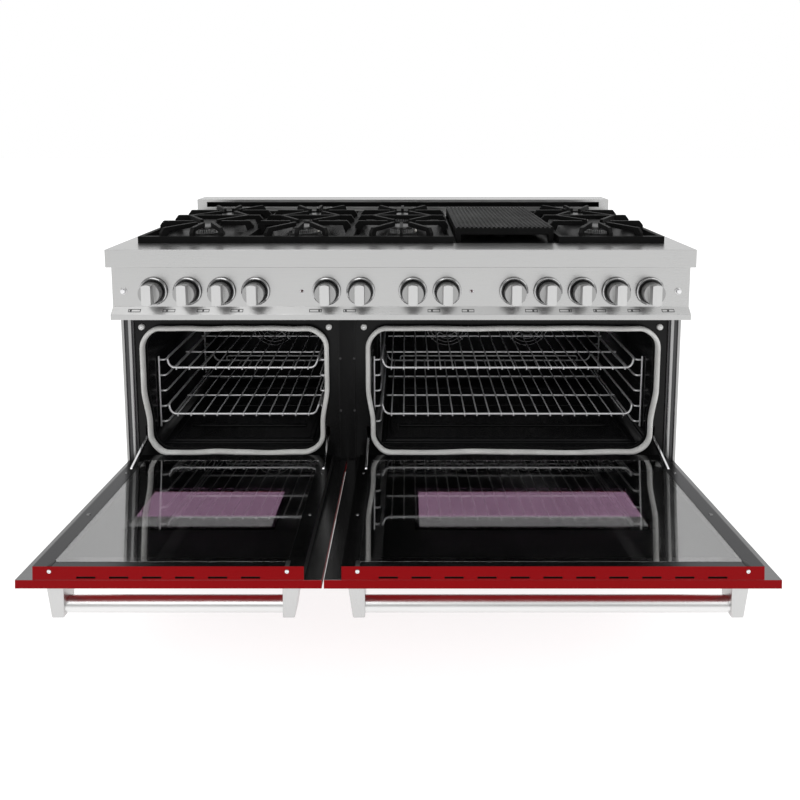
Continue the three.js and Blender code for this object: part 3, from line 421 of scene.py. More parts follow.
FACE_BLACK = surfaced("face_black", (0.006, 0.006, 0.0062), 0.28, scale=500.0, shade=0.2, bump=0.05,
                      wear=(0.001, (0.02, 0.02, 0.02), 0.35), Specular_IOR_Level=0.14)
CAST_IRON = surfaced("cast_iron", (0.0055, 0.0055, 0.0055), 0.52, scale=420.0, shade=0.35, uneven=0.1,
                     bump=0.55, clouds=12.0, wear=(0.002, (0.014, 0.0135, 0.013), 0.42),
                     Specular_IOR_Level=0.07)
RED_PAINT = surfaced("red_paint", (0.245, 0.002, 0.004), 0.38, scale=330.0, shade=0.07, uneven=0.05,
                     bump=0.12, wear=(0.0008, (0.31, 0.008, 0.011), 0.28), Specular_IOR_Level=0.04)
DOOR_STEEL = metal("door_steel", (0.23, 0.23, 0.232), 0.22, ALONG, 700.0, shade=0.08, bump=0.05)
FRAME_STEEL = metal("door_frame_steel", (0.075, 0.075, 0.077), 0.20, ALONG, 700.0, shade=0.08,
                    bump=0.05)
ALUMINIUM = metal("burner_aluminium", (0.66, 0.66, 0.66), 0.36, scale=600.0, shade=0.1, uneven=0.1,
                  bump=0.25, wear=(0.001, (0.8, 0.8, 0.8), 0.25))
CAP_ENAMEL = surfaced("cap_enamel", (0.010, 0.010, 0.010), 0.34, scale=300.0, shade=0.3, uneven=0.08,
                      bump=0.2, wear=(0.001, (0.05, 0.05, 0.05), 0.3))
CERAMIC = surfaced("igniter_ceramic", (0.78, 0.76, 0.70), 0.28, scale=500.0, shade=0.04, bump=0.05)
MARKING = surfaced("panel_marking", (0.035, 0.035, 0.037), 0.42, scale=800.0, shade=0.15, bump=0.03)
# Plain black for clips and unpainted door faces. Painted shade where it blackens the backguard's slot,
# the bezels' gaps and the strip under the door slots.
BLACK_AND_PAINTED_SHADE = surfaced("black_and_painted_shade", (0.012, 0.012, 0.012), 0.45, scale=500.0, shade=0.3, bump=0.1)
LENS_RED = surfaced("lamp_lens", (0.055, 0.010, 0.010), 0.12, scale=300.0, shade=0.1, bump=0.03,
                    Coat_Weight=0.8)
BUFFER = surfaced("door_buffer", (0.64, 0.64, 0.63), 0.55, scale=500.0, shade=0.08, bump=0.1)
BRAIDED = braided("seal_braid")
INNER_GLASS = door_glass("inner_glass")
WINDOW_GLASS = window_pane("window_glass")


# ---------------------------------------------------------------- modelling by hand

def into_scene(piece):
    bpy.context.scene.collection.objects.link(piece)


def clear_selection():
    for piece in list(bpy.context.selected_objects):
        piece.select_set(False)


def take_up(piece):
    """Makes one piece the selected and active one."""
    clear_selection()
    piece.select_set(True)
    bpy.context.view_layer.objects.active = piece
    return piece


def newest(name, finish):
    """Names the primitive just added and gives it its finish."""
    piece = bpy.context.active_object
    piece.name = name
    piece.data.name = name
    piece.data.materials.append(finish)
    return piece


def settle(piece):
    """Puts a piece's place into its mesh."""
    take_up(piece)
    bpy.ops.object.transform_apply(location=True, rotation=True, scale=True)
    return piece


def block(name, low, high, finish):
    """A box between two corners."""
    clear_selection()
    low, high = Vector(low), Vector(high)
    bpy.ops.mesh.primitive_cube_add(size=1, location=(low + high) / 2, scale=high - low)
    return settle(newest(name, finish))


def choose(piece, wanted):
    """Selects, for edit mode, the faces that a test accepts by centre and normal."""
    take_up(piece)
    bpy.ops.object.mode_set(mode="EDIT")
    bpy.ops.mesh.select_mode(type="FACE")
    bpy.ops.mesh.select_all(action="DESELECT")
    bpy.ops.object.mode_set(mode="OBJECT")
    for face in piece.data.polygons:
        face.select = wanted(face.center, face.normal)
    bpy.ops.object.mode_set(mode="EDIT")


def done():
    bpy.ops.object.mode_set(mode="OBJECT")


def facing(axis, way):
    """A test for faces that point along an axis: 0 is X, 1 is Y, 2 is Z; way is 1 or -1."""
    return lambda centre, normal: normal[axis] * way > 0.9


FORWARDS = facing(1, -1)
BACKWARDS = facing(1, 1)
UPWARDS = facing(2, 1)


def pressed(piece, wanted, *steps):
    """Presses chosen faces: each step is an inset's width and how far its middle then moves."""
    choose(piece, wanted)
    for width, move in steps:
        bpy.ops.mesh.inset(thickness=width)
        bpy.ops.mesh.extrude_region_move(TRANSFORM_OT_translate={"value": move})
    done()


def drawn_in(piece, wanted, size, centre):
    """Scales chosen faces about a point."""
    choose(piece, wanted)
    bpy.ops.transform.resize(value=size, center_override=centre)
    done()


def refinished(piece, finish, wanted):
    """Gives another finish to the faces that a test accepts."""
    piece.data.materials.append(finish)
    slot = len(piece.data.materials) - 1
    for face in piece.data.polygons:
        if wanted(face):
            face.material_index = slot


def point_outwards(piece):
    """Merges a piece's doubles and points its faces outwards."""
    take_up(piece)
    bpy.ops.object.mode_set(mode="EDIT")
    bpy.ops.mesh.select_all(action="SELECT")
    bpy.ops.mesh.remove_doubles(threshold=0.000005)
    bpy.ops.mesh.normals_make_consistent(inside=False)
    done()
    return piece


def faced_back(piece):
    """Makes a piece that faces forwards face backwards."""
    piece.data.transform(Matrix.Scale(-1, 4, (0, 1, 0)))
    return point_outwards(piece)


def smooth(piece, angle=35):
    take_up(piece)
    bpy.ops.object.shade_smooth_by_angle(angle=math.radians(angle))
    return piece


def ease(piece, width, segments=2, angle=30):
    """Rounds a piece's edges over."""
    take_up(piece)
    rounding = piece.modifiers.new("Rounding", "BEVEL")
    rounding.width = width
    rounding.segments = segments
    rounding.limit_method = "ANGLE"
    rounding.angle_limit = math.radians(angle)
    bpy.ops.object.modifier_apply(modifier="Rounding")
    return smooth(piece)


AXIS_TURN = {"X": (0, QUARTER, 0), "Y": (QUARTER, 0, 0), "Z": (0, 0, 0)}
AXIS_STEP = {"X": Vector((1, 0, 0)), "Y": Vector((0, -1, 0)), "Z": Vector((0, 0, 1))}


def turned(name, place, axis, profile, finish, sides=32):
    """A closed turned piece, drawn out from a ring through each (radius, distance); Y runs forwards."""
    clear_selection()
    step = AXIS_STEP[axis]
    place = Vector(place)
    radius, distance = profile[0]
    bpy.ops.mesh.primitive_circle_add(vertices=sides, radius=radius, fill_type="NGON",
                                      location=place + step * distance, rotation=AXIS_TURN[axis])
    piece = settle(newest(name, finish))
    bpy.ops.object.mode_set(mode="EDIT")
    bpy.ops.mesh.select_all(action="SELECT")
    for next_radius, next_distance in profile[1:]:
        bpy.ops.mesh.extrude_region_move(
            TRANSFORM_OT_translate={"value": step * (next_distance - distance)})
        size = next_radius / radius
        bpy.ops.transform.resize(value=[1 if step[i] else size for i in range(3)],
                                 center_override=place + step * next_distance)
        radius, distance = next_radius, next_distance
    done()
    return smooth(point_outwards(piece))


def rounded(points, bend, steps=5):
    """A line of points with its inner corners rounded."""
    points = [Vector(point) for point in points]
    line = [points[0]]
    for before, corner, after in zip(points, points[1:], points[2:]):
        reach_in = min(bend, (before - corner).length * 0.49)
        reach_out = min(bend, (after - corner).length * 0.49)
        start = corner + (before - corner).normalized() * reach_in
        end = corner + (after - corner).normalized() * reach_out
        for i in range(steps + 1):
            t = i / steps
            line.append(start * (1 - t) ** 2 + corner * 2 * t * (1 - t) + end * t ** 2)
    line.append(points[-1])
    return line


def wirework(name, runs, radius, finish, sides=2, closed=False):
    """Round wires along lines of points, as one mesh."""
    clear_selection()
    curve = bpy.data.curves.new(name, "CURVE")
    curve.dimensions = "3D"
    curve.bevel_depth = radius
    curve.bevel_resolution = sides
    curve.use_fill_caps = True
    for run in runs:
        spline = curve.splines.new("POLY")
        spline.points.add(len(run) - 1)
        for point, place in zip(spline.points, run):
            point.co = (*place, 1)
        spline.use_cyclic_u = closed
    piece = bpy.data.objects.new(name, curve)
    into_scene(piece)
    take_up(piece)
    bpy.ops.object.convert(target="MESH")
    piece = bpy.context.active_object
    piece.data.materials.clear()
    piece.data.materials.append(finish)
    return smooth(point_outwards(piece), 60)


def joined(name, pieces):
    """Joins pieces into one, which keeps each one's finish."""
    take_up(pieces[0])
    for piece in pieces[1:]:
        piece.select_set(True)
    bpy.ops.object.join()
    whole = bpy.context.active_object
    whole.name = name
    whole.data.name = name
    return whole


def copied(piece, name, offset):
    """A copy of a piece, with its own mesh, moved by an offset."""
    copy = piece.copy()
    copy.data = piece.data.copy()
    copy.name = name
    copy.data.name = name
    into_scene(copy)
    copy.data.transform(Matrix.Translation(offset))
    return copy


def hung(piece):
    """Takes a piece from the doors' own frame to the open doors."""
    piece.data.transform(Matrix.Translation((0, *HINGE[1:])) @ Matrix.Rotation(DOOR_OPEN, 4, "X"))
    return piece


def fitted(piece, body, slot, *replaced):
    """Rides a piece on its body and hides what it stands for; its slot argument is not used."""
    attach(piece, body)
    if replaced:
        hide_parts(*replaced)
    return piece


# ---------------------------------------------------------------- frame parts

def dress(name, finish, edge=0.0, segments=2):
    """Gives a frame part its finish, with its edges rounded over where a width is given."""
    part = nodes[name]
    part.material_slots[0].material = finish
    for face in part.data.polygons:
        face.use_smooth = True
    weld = part.modifiers.new("Weld", "WELD")
    weld.merge_threshold = 0.00001
    flat = part.modifiers.new("Flat", "DECIMATE")
    flat.decimate_type = "DISSOLVE"
    flat.angle_limit = math.radians(0.5)
    flat.delimit = {"MATERIAL"}
    if edge:
        rounding = part.modifiers.new("Rounding", "BEVEL")
        rounding.width = edge
        rounding.segments = segments
        rounding.limit_method = "ANGLE"
        rounding.angle_limit = math.radians(35)
        rounding.use_clamp_overlap = True
    shading = part.modifiers.new("Shading", "WEIGHTED_NORMAL")
    shading.weight = 60
    return part


def dress_frame():
    for name in ("left_side_panel", "right_side_panel"):
        dress(name, STAINLESS, 0.0012)
    for name in ("cooktop_surround", "backguard"):
        dress(name, STAINLESS, 0.0016, 3)
    # Painted shade: faces lying inside the backguard's outer box, in its slot, take the black finish.
    low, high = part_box("backguard")
    refinished(nodes["backguard"], BLACK_AND_PAINTED_SHADE, lambda face: all(
        low[i] + 0.0005 < face.center[i] < high[i] - 0.0005 for i in range(3)))
    dress("control_panel", STAINLESS, 0.0008)
    dress("toe_kick", STAINLESS, 0.0008)
    dress("base_pan", GALVANISED, 0.0006)
    dress("back_panel", GALVANISED, 0.0006)
    dress("burner_deck", DECK_ENAMEL, 0.0008)
    dress("oven_face", FACE_BLACK, 0.0006)
    dress("griddle", CAST_IRON, 0.0006)
    for i in range(1, 5):
        dress(f"grate_{i}", CAST_IRON, 0.0014)
    for side in SIDES:
        dress(f"{side}_oven_liner", BLACK_ENAMEL)
        dress(f"{side}_door_window", WINDOW_GLASS, 0.0004, 1)
        dress(f"{side}_door_inner_glass", INNER_GLASS, 0.0004, 1)
        inside = Vector((0, math.cos(DOOR_OPEN), math.sin(DOOR_OPEN)))
        upwards = Vector((0, -math.sin(DOOR_OPEN), math.cos(DOOR_OPEN)))
        for name, bare in ((f"{side}_door_outer_skin", DOOR_STEEL),
                           (f"{side}_door_inner_frame", FRAME_STEEL)):
            part = dress(name, RED_PAINT, 0.0007)
            low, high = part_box(name)

            def painted(face):
                at_top = face.normal.dot(upwards) > 0.9 and on_door(face.center).z > DOOR_TOP - 0.001
                at_side = min(face.center.x - low.x, high.x - face.center.x) < 0.001
                outside = on_door(face.center).y < SKIN_OUTSIDE + 0.001
                return at_top or outside or (at_side and name.endswith("skin"))

            def faces_in(face):
                return face.normal.dot(inside) > 0.9 and on_door(face.center).y > SKIN_INSIDE - 0.001

            refinished(part, bare, lambda face: faces_in(face) and not painted(face))
            refinished(part, BLACK_AND_PAINTED_SHADE, lambda face: not faces_in(face) and not painted(face))
        for end in SIDES:
            dress(f"{side}_door_hinge_arm_{end}", CHROME, 0.0008)


# ---------------------------------------------------------------- controls

PANEL_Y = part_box("burner_knob_1")[0].y + KNOB_DEPTH


def panel_place(name):
    """A control's middle, on the panel's face."""
    low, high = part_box(name)
    return Vector(((low.x + high.x) / 2, PANEL_Y, (low.z + high.z) / 2))


def first_knob(name):
    """A round knob with a full-height grip bar, its shaft behind."""
    place = panel_place(name)
    body = turned(name + "_finish", place, "Y", (
        (KNOB_RADIUS - 0.0015, KNOB_BACK), (KNOB_RADIUS, KNOB_BACK + 0.0015), (KNOB_RADIUS, KNOB_FACE)),
        KNOB_STEEL, 72)
    face_y = PANEL_Y - KNOB_FACE
    choose(body, FORWARDS)
    for end in (-1, 1):
        bpy.ops.mesh.bisect(plane_co=(place.x + end * GRIP_WIDTH / 2, face_y, place.z),
                            plane_no=(1, 0, 0))
        bpy.ops.mesh.select_all(action="DESELECT")
        done()
        choose(body, FORWARDS)
    done()
    choose(body, lambda centre, normal: normal.y < -0.9 and abs(centre.x - place.x) < GRIP_WIDTH / 4)
    bpy.ops.mesh.extrude_region_move(TRANSFORM_OT_translate={"value": (0, KNOB_FACE - KNOB_DEPTH, 0)})
    bpy.ops.transform.resize(value=(0.94, 1, 0.985), center_override=(place.x, face_y, place.z))
    done()
    ease(body, 0.0016, 3, 40)
    # Painted shade: the shoulder and skirt behind the grip take the darker copy of the knob steel.
    refinished(body, KNOB_SHADED_BODY, lambda face: face.center.y > face_y - 0.0006)
    shaft = turned("shaft", place, "Y", ((SHAFT_RADIUS, SHAFT_END), (SHAFT_RADIUS, KNOB_BACK + 0.001)),
                   CHROME, 16)
    return joined(name + "_finish", [body, shaft])


def first_bezel(place):
    """A dished chrome ring with a black recess behind the knob and fine dial marks; the black there and
    on the outer wall is painted shade.
    """
    ring = turned("knob_bezel", place, "Y", BEZEL_PROFILE, BEZEL_STEEL, 64)

    def recessed(face):
        """The face behind the knob, and the outer wall, painted black as shade."""
        out = (face.center - place).length
        return (face.normal.y < -0.9 and out < KNOB_RADIUS) or (abs(face.normal.y) < 0.1 and out > 0.0375)

    # Painted shade: black on the face behind the knob and on the ring's outer wall.
    refinished(ring, BLACK_AND_PAINTED_SHADE, recessed)
    marks = []
    for i in range(BEZEL_TICKS):
        angle = math.radians(90 - i * BEZEL_SWEEP / (BEZEL_TICKS - 1))
        long = 0.0026 if i % 5 == 0 else 0.0017
        mark = block("mark", (-0.0004, -0.0003, -long / 2), (0.0004, 0.0012, long / 2), MARKING)
        mark.data.transform(Matrix.Rotation(-angle + QUARTER, 4, "Y"))
        out = Vector((math.cos(angle), 0, math.sin(angle))) * BEZEL_TICK_RADIUS
        mark.data.transform(Matrix.Translation(place + out + Vector((0, -0.0068, 0))))
        marks.append(mark)
    return joined("knob_bezel", [ring, *marks])


def controls():
    names = [f"burner_knob_{i}" for i in range(1, 10)] + [f"oven_knob_{i}" for i in range(1, 5)]
    start = panel_place(names[0])
    pattern = first_knob(names[0])
    ring = first_bezel(start)
    for i, name in enumerate(names):
        offset = panel_place(name) - start
        knob = pattern if i == 0 else copied(pattern, name + "_finish", offset)
        bezel = ring if i == 0 else copied(ring, "knob_bezel", offset)
        bezel.name = f"knob_bezel_{i + 1}"
        fitted(knob, name, "stainless", name)
        fitted(bezel, "cabinet", "chrome")
    for side in SIDES:
        name = f"{side}_lamp_button"
        low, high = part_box(name)
        place = panel_place(name)
        radius = (high.x - low.x) / 2
        button = turned(name + "_finish", place, "Y", (
            (radius * 0.7, PANEL_Y - high.y), (radius * 0.7, 0.0012), (radius * 0.82, 0.0012),
            (radius * 0.82, 0.0042), (radius * 0.7, 0.0055), (radius * 0.35, 0.006)), CHROME)
        fitted(button, name, "chrome", name)
        collar = turned(f"{side}_lamp_collar", place, "Y", (
            (radius * 1.15, 0), (radius * 1.12, 0.0012), (radius, 0.0016), (radius * 0.9, 0.001)),
            SATIN_STEEL)
        fitted(collar, "cabinet", "satin_steel")
    for i, x in enumerate(JEWEL_X):
        place = Vector((x, PANEL_Y, start.z))
        holder = turned("jewel", place, "Y", JEWEL_HOLDER, CHROME, 24)
        lens = turned("lens", place, "Y", JEWEL_LENS, LENS_RED, 24)
        fitted(joined(f"indicator_lamp_{i + 1}", [holder, lens]), "cabinet", "chrome")


def lip_labels():
    """Thin outlined labels on the sloped lip, each with a mark for its knob's place in the row."""
    slope = math.atan2(LIP_FRONT, LIP_DROP)
    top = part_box("control_panel")[1].z
    middle_y = PANEL_Y - LIP_FRONT / 2
    middle_z = top - (LIP_BELOW_COOKTOP - COOKTOP_ABOVE_PANEL) - LIP_DROP / 2 + 0.0002
    turn = Matrix.Rotation(-slope, 4, "X")
    width, height = LABEL_SIZE
    for i, x in enumerate(LABEL_X):
        outline = block("outline", (-width / 2, -0.00025, -height / 2),
                        (width / 2, 0.0004, height / 2), MARKING)
        pressed(outline, FORWARDS, (0.0017, (0, 0.0002, 0)))
        refinished(outline, STAINLESS, lambda face: face.normal.y < -0.9
                   and abs(face.center.z) < height / 4 and abs(face.center.x) < width / 4)
        spot_x = (-0.3 + 0.6 * (i % 5) / 4) * width
        spot = block("spot", (spot_x - 0.0024, -0.0005, -0.0022),
                     (spot_x + 0.0024, 0.0001, 0.0022), MARKING)
        label = joined(f"lip_label_{i + 1}", [outline, spot])
        label.data.transform(Matrix.Translation((x, middle_y, middle_z)) @ turn)
        fitted(label, "cabinet", "black_enamel")


# ---------------------------------------------------------------- cooktop

COOKTOP_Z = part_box("control_panel")[1].z + COOKTOP_ABOVE_PANEL


def burner_places():
    """Middles of the round burners, from the middles and ends of the grates over them."""
    for i in range(1, 5):
        low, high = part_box(f"grate_{i}")
        middle = (low + high) / 2
        for end in (-1, 1):
            yield Vector((middle.x, middle.y + end * BURNER_SPREAD, COOKTOP_Z))


def first_burner(place):
    """A ported aluminium head under a black cap, with its igniter beside it."""
    head = turned("head", place, "Z", ((HEAD_RADIUS - 0.002, 0.006), (HEAD_RADIUS, 0.0078),
                  (HEAD_RADIUS, HEAD_TOP)), ALUMINIUM, PORTS * 2)

    def port(centre, normal):
        angle = math.atan2(centre.y - place.y, centre.x - place.x) / (2 * math.pi) * PORTS
        return abs(normal.z) < 0.1 and (angle % 1) < 0.5

    choose(head, port)
    bpy.ops.mesh.inset(thickness=0.0005, depth=-0.003, use_individual=True)
    done()
    ease(head, 0.0005, 1, 40)
    cap = turned("cap", place, "Z", (
        (0.0325, HEAD_TOP - 0.0005), (0.0342, HEAD_TOP + 0.0006), (0.0342, 0.0215), (0.0325, 0.0246),
        (0.0295, CAP_TOP - 0.0006), (0.0265, CAP_TOP), (0.012, CAP_TOP - 0.0006)), CAP_ENAMEL, 64)
    beside = place + Vector((IGNITER_X, 0.0, 0.0))
    post = turned("post", beside, "Z", ((0.0032, 0.004), (0.0032, 0.0125), (0.0022, 0.0145)), CERAMIC, 16)
    tip = turned("tip", beside, "Z", ((0.0009, 0.014), (0.0009, 0.0185), (0.0006, 0.019)), CHROME, 10)
    return joined("burner", [head, cap, post, tip])


def burners():
    places = list(burner_places())
    pattern = first_burner(places[0])
    for i, place in enumerate(places):
        burner = pattern if i == 0 else copied(pattern, "burner", place - places[0])
        burner.name = f"burner_head_{i + 1}"
        fitted(burner, "cabinet", "cast_iron")


# ---------------------------------------------------------------- ovens

def oven_box(side):
    """Inner corners of an oven's cavity."""
    low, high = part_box(f"{side}_oven_liner")
    return low + Vector((WALL, 0, WALL)), high - Vector((WALL, WALL, WALL))


def seal_line(side, grow, radius, arc=10, straight=24):
    """Closed line round an oven's mouth, stepped inwards beside the hinge arms and a little uneven."""
    low, high = oven_box(side)
    middle = (low.x + high.x) / 2
    half = (high.x - low.x) / 2 + grow
    bottom, top = low.z - grow, high.z + grow
    corners = ((1, top - radius, 0), (-1, top - radius, 90),
               (-1, bottom + radius, 180), (1, bottom + radius, 270))
    line = []
    for k, (end, corner_z, start) in enumerate(corners):
        for i in range(arc + 1):
            angle = math.radians(start + 90 * i / arc)
            line.append((end * (half - radius) + radius * math.cos(angle),
                         corner_z + radius * math.sin(angle)))
        here, after = line[-1], corners[(k + 1) % 4]
        there = (after[0] * (half - radius) + radius * math.cos(math.radians(after[2])),
                 after[1] + radius * math.sin(math.radians(after[2])))
        for i in range(1, straight):
            t = i / straight
            line.append((here[0] + (there[0] - here[0]) * t, here[1] + (there[1] - here[1]) * t))
    stepped = []
    for i, (x, z) in enumerate(line):
        t = min(1, max(0, (high.z - z - STEP_START) / (STEP_END - STEP_START)))
        step = SEAL_STEP * t * t * (3 - 2 * t) if x else 0
        ripple = 0.0007 * math.sin(i * 0.9) + 0.0006 * math.sin(i * 0.37 + 1.3)
        sag = -0.0012 * math.sin((x / half + 1) * 5.5) if z < bottom + 0.01 else 0
        stepped.append(Vector((middle + x - math.copysign(step, x), 0, z + ripple + sag)))
    return stepped


def seal(side):
    """Braided seal round an oven's mouth, with the seam of its two ends at the bottom."""
    low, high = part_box(f"{side}_oven_gasket")
    middle_y = (low.y + high.y) / 2
    line = seal_line(side, SEAL_WIDTH / 2, MOUTH_CORNER + SEAL_WIDTH / 2 + MOUTH_LIP)
    tube = wirework(f"{side}_seal", [line], SEAL_WIDTH / 2 - 0.0006, BRAIDED, 4, closed=True)
    deepened = Matrix.Scale(SEAL_DEPTH / SEAL_WIDTH, 4, (0, 1, 0))
    tube.data.transform(Matrix.Translation((0, middle_y, 0)) @ deepened)
    inner, outer = oven_box(side)
    seam_x = (inner.x + outer.x) / 2
    seam = turned("seam", (seam_x, middle_y, inner.z - SEAL_WIDTH / 2), "X", (
        (0.0066, -0.004), (0.0071, -0.003), (0.0071, 0.003), (0.0066, 0.004)), BRAIDED, 24)
    seam.data.transform(Matrix.Translation((0, middle_y, 0)) @ Matrix.Scale(1.42, 4, (0, 1, 0))
                        @ Matrix.Translation((0, -middle_y, 0)))
    fitted(joined(f"{side}_seal", [tube, seam]), "cabinet", "seal_braid", f"{side}_oven_gasket")


def rack_guide(side, end):
    """Wire ladder of U-shaped rungs on two uprights."""
    name = f"{side}_oven_rack_guide_{end}"
    low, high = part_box(name)
    inwards = 1 if end == "left" else -1
    wall = (low.x if end == "left" else high.x) + inwards * WIRE
    run = (high.x if end == "left" else low.x) - inwards * WIRE
    front, back = low.y + WIRE, high.y - WIRE
    first, last = high.z - 0.012, low.z + 0.012
    runs = [[(wall, y, low.z), (wall, y, high.z)] for y in (front, back)]
    for i in range(RUNGS):
        z = last + (first - last) * i / (RUNGS - 1)
        runs.append(rounded([(wall - inwards * 0.0012, front + 0.004, z), (run, front + 0.004, z),
                             (run, back - 0.004, z), (wall - inwards * 0.0012, back - 0.004, z)], 0.012))
    ladder = wirework(name + "_wires", runs, WIRE - 0.0002, CHROME_WIRE)
    fitted(ladder, "cabinet", "chrome_wire", name)


def rack(side, level):
    """Wire rack: one loop for its rails and ends, two cross wires, a raised stop and its platform."""
    name = f"{side}_oven_{level}_rack"
    low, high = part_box(name)
    middle = (low.x + high.x) / 2
    rail = (high.x - low.x) / 2 - WIRE - RACK_CLEARANCE
    rail_z = high.z - WIRE
    floor = rail_z - RACK_DROP
    front, back = low.y + WIRE, high.y - WIRE
    inner = rail - RACK_BEND
    seam = [(middle - rail, (front + back) / 2, rail_z)]
    corners = [(middle - rail, front, rail_z), (middle - inner, front, floor),
               (middle + inner, front, floor), (middle + rail, front, rail_z),
               (middle + rail, back, rail_z), (middle + inner, back, floor),
               (middle - inner, back, floor), (middle - rail, back, rail_z)]
    loop = wirework("loop", [rounded(seam + corners + seam, 0.016)], WIRE, CHROME_WIRE)
    cross = []
    for t in RACK_CROSS:
        y = front + (back - front) * t
        drop = floor - 0.0011
        cross.append([(middle - inner, y, drop), (middle + inner, y, drop)])
    stop = rail - STOP_INSET
    cross.append(rounded([(middle - stop, back, floor), (middle - stop, back, floor + STOP_RISE),
                          (middle + stop, back, floor + STOP_RISE), (middle + stop, back, floor)], 0.009))
    bars = wirework("bars", cross, WIRE - 0.0003, CHROME_WIRE)
    count = RACK_WIRES[side]
    pitch = 2 * inner / count
    runs = []
    for i in range(count):
        x = middle - inner + (i + 0.5) * pitch
        top = floor + WIRE + THIN_WIRE - 0.0008
        tip = front - 0.0045
        runs.append(rounded([(x, back, top), (x, tip, top), (x, tip, floor - 0.004)], 0.004, 3))
    platform = wirework("platform", runs, THIN_WIRE, CHROME_WIRE, 1)
    fitted(joined(name + "_wires", [loop, bars, platform]), name, "chrome_wire", name)


def fan_guard(i, x):
    """Round wire guard over a fan opening in an oven's back wall."""
    side = "left" if x < -0.15 else "right"
    wall = oven_box(side)[1].y
    plate = turned("plate", (x, wall, FAN_Z), "Y", FAN_PLATE, BLACK_ENAMEL, 48)
    turns = [math.radians(degrees) for degrees in range(0, 360, 10)]
    rings = [[(x + radius * math.cos(turn), wall - 0.006, FAN_Z + radius * math.sin(turn))
              for turn in turns] for radius in FAN_RINGS]
    guard = wirework("guard", rings, 0.0012, CHROME_WIRE, 1, closed=True)
    spokes = []
    centre = Vector((x, wall - 0.0042, FAN_Z))
    for degrees in (45, 135, 225, 315):
        out = Vector((math.cos(math.radians(degrees)), 0, math.sin(math.radians(degrees))))
        foot = centre + out * 0.078 + Vector((0, 0.004, 0))
        spokes.append(rounded([centre + out * 0.010, centre + out * 0.077, foot], 0.002, 3))
    legs = wirework("spokes", spokes, 0.0012, CHROME_WIRE, 1)
    hub = turned("hub", (x, wall, FAN_Z), "Y", FAN_HUB, CHROME_WIRE, 24)
    fitted(joined(f"fan_guard_{i + 1}", [plate, guard, legs, hub]), "cabinet", "chrome_wire")


def oven_floor(side):
    """Floor plate with a raised rim and three long pressed channels."""
    low, high = oven_box(side)
    front, back = low.y + 0.016, high.y - 0.006
    x0, x1 = low.x + 0.030, high.x - 0.030
    z0 = low.z + 0.0003
    plate = block("plate", (x0, front, z0), (x1, back, z0 + 0.003), BLACK_ENAMEL)
    pressed(plate, UPWARDS, (0.010, (0, 0, 0.004)), (0.014, (0, 0, -0.0035)))
    ease(plate, 0.0012, 3)
    ribs = []
    for k in range(3):
        y = front + (back - front) * (0.22 + 0.28 * k)
        rib = block("rib", (x0 + 0.045, y - 0.006, z0 + 0.003),
                    (x1 - 0.045, y + 0.006, z0 + 0.0062), BLACK_ENAMEL)
        ribs.append(ease(rib, 0.0022, 3))
    fitted(joined(f"{side}_oven_floor", [plate, *ribs]), "cabinet", "black_enamel")


def screw(name, place, axis, radius, finish, proud=0.002):
    """Pan-head screw with a recessed socket."""
    return turned(name, place, axis, ((radius, 0), (radius, proud * 0.45), (radius * 0.78, proud * 0.9),
                  (radius * 0.45, proud), (radius * 0.4, proud * 0.5)), finish, 20)


def column_trim(side, outwards, bottom, top):
    """Moulding on a front column: an outer strip, a dark channel and a round bead."""
    low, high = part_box(f"{side}_side_panel")
    edge = high.x if outwards > 0 else low.x

    def strip(name, start, end, proud, finish, rounding):
        x0, x1 = sorted((edge - outwards * start, edge - outwards * end))
        piece = block(name, (x0, low.y - proud, bottom), (x1, low.y + 0.0002, top), finish)
        return ease(piece, rounding, 4)

    parts = [strip("outer", 0.0, 0.0075, 0.0035, TRIM_STEEL, 0.0012),
             strip("channel", 0.0073, 0.0185, 0.0004, MARKING, 0.0001),
             strip("bead", 0.0183, 0.0275, 0.0045, TRIM_STEEL, 0.0042),
             strip("inner", 0.0275, 0.0318, 0.0004, MARKING, 0.0001)]
    fitted(joined(f"{side}_column_moulding", parts), "cabinet", "stainless")


def face_trim():
    """Door buffers, and the cover strip between the ovens with its screws."""
    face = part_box("oven_face")[0]
    for i, x in enumerate(STUD_X):
        stud = turned("stud", (x, face.y, STUD_Z), "Y", ((0.0085, 0), (0.0085, 0.003), (0.0075, 0.0052),
                      (0.005, 0.0062)), BUFFER, 32)
        centre = screw("stud_centre", (x, face.y - 0.0055, STUD_Z), "Y", 0.0032, SATIN_STEEL, 0.0015)
        fitted(joined(f"door_buffer_{i + 1}", [stud, centre]), "cabinet", "satin_steel")
    bottom = face.z + 0.004
    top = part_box("oven_face")[1].z - 0.004
    for side, outwards in (("left", -1), ("right", 1)):
        column_trim(side, outwards, bottom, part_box("control_panel")[0].z - 0.0004)
    strip = block("strip", (STRIP_X[0], face.y - 0.0018, bottom), (STRIP_X[1], face.y, top), FACE_BLACK)
    pressed(strip, FORWARDS, (0.0035, (0, 0.0006, 0)))
    ease(strip, 0.0005, 2)
    screws = [screw("screw", (x, face.y - 0.0012, z), "Y", 0.0034, MARKING) for x, z in STRIP_SCREWS]
    fitted(joined("centre_cover_strip", [strip, *screws]), "cabinet", "black_enamel")


# ---------------------------------------------------------------- doors

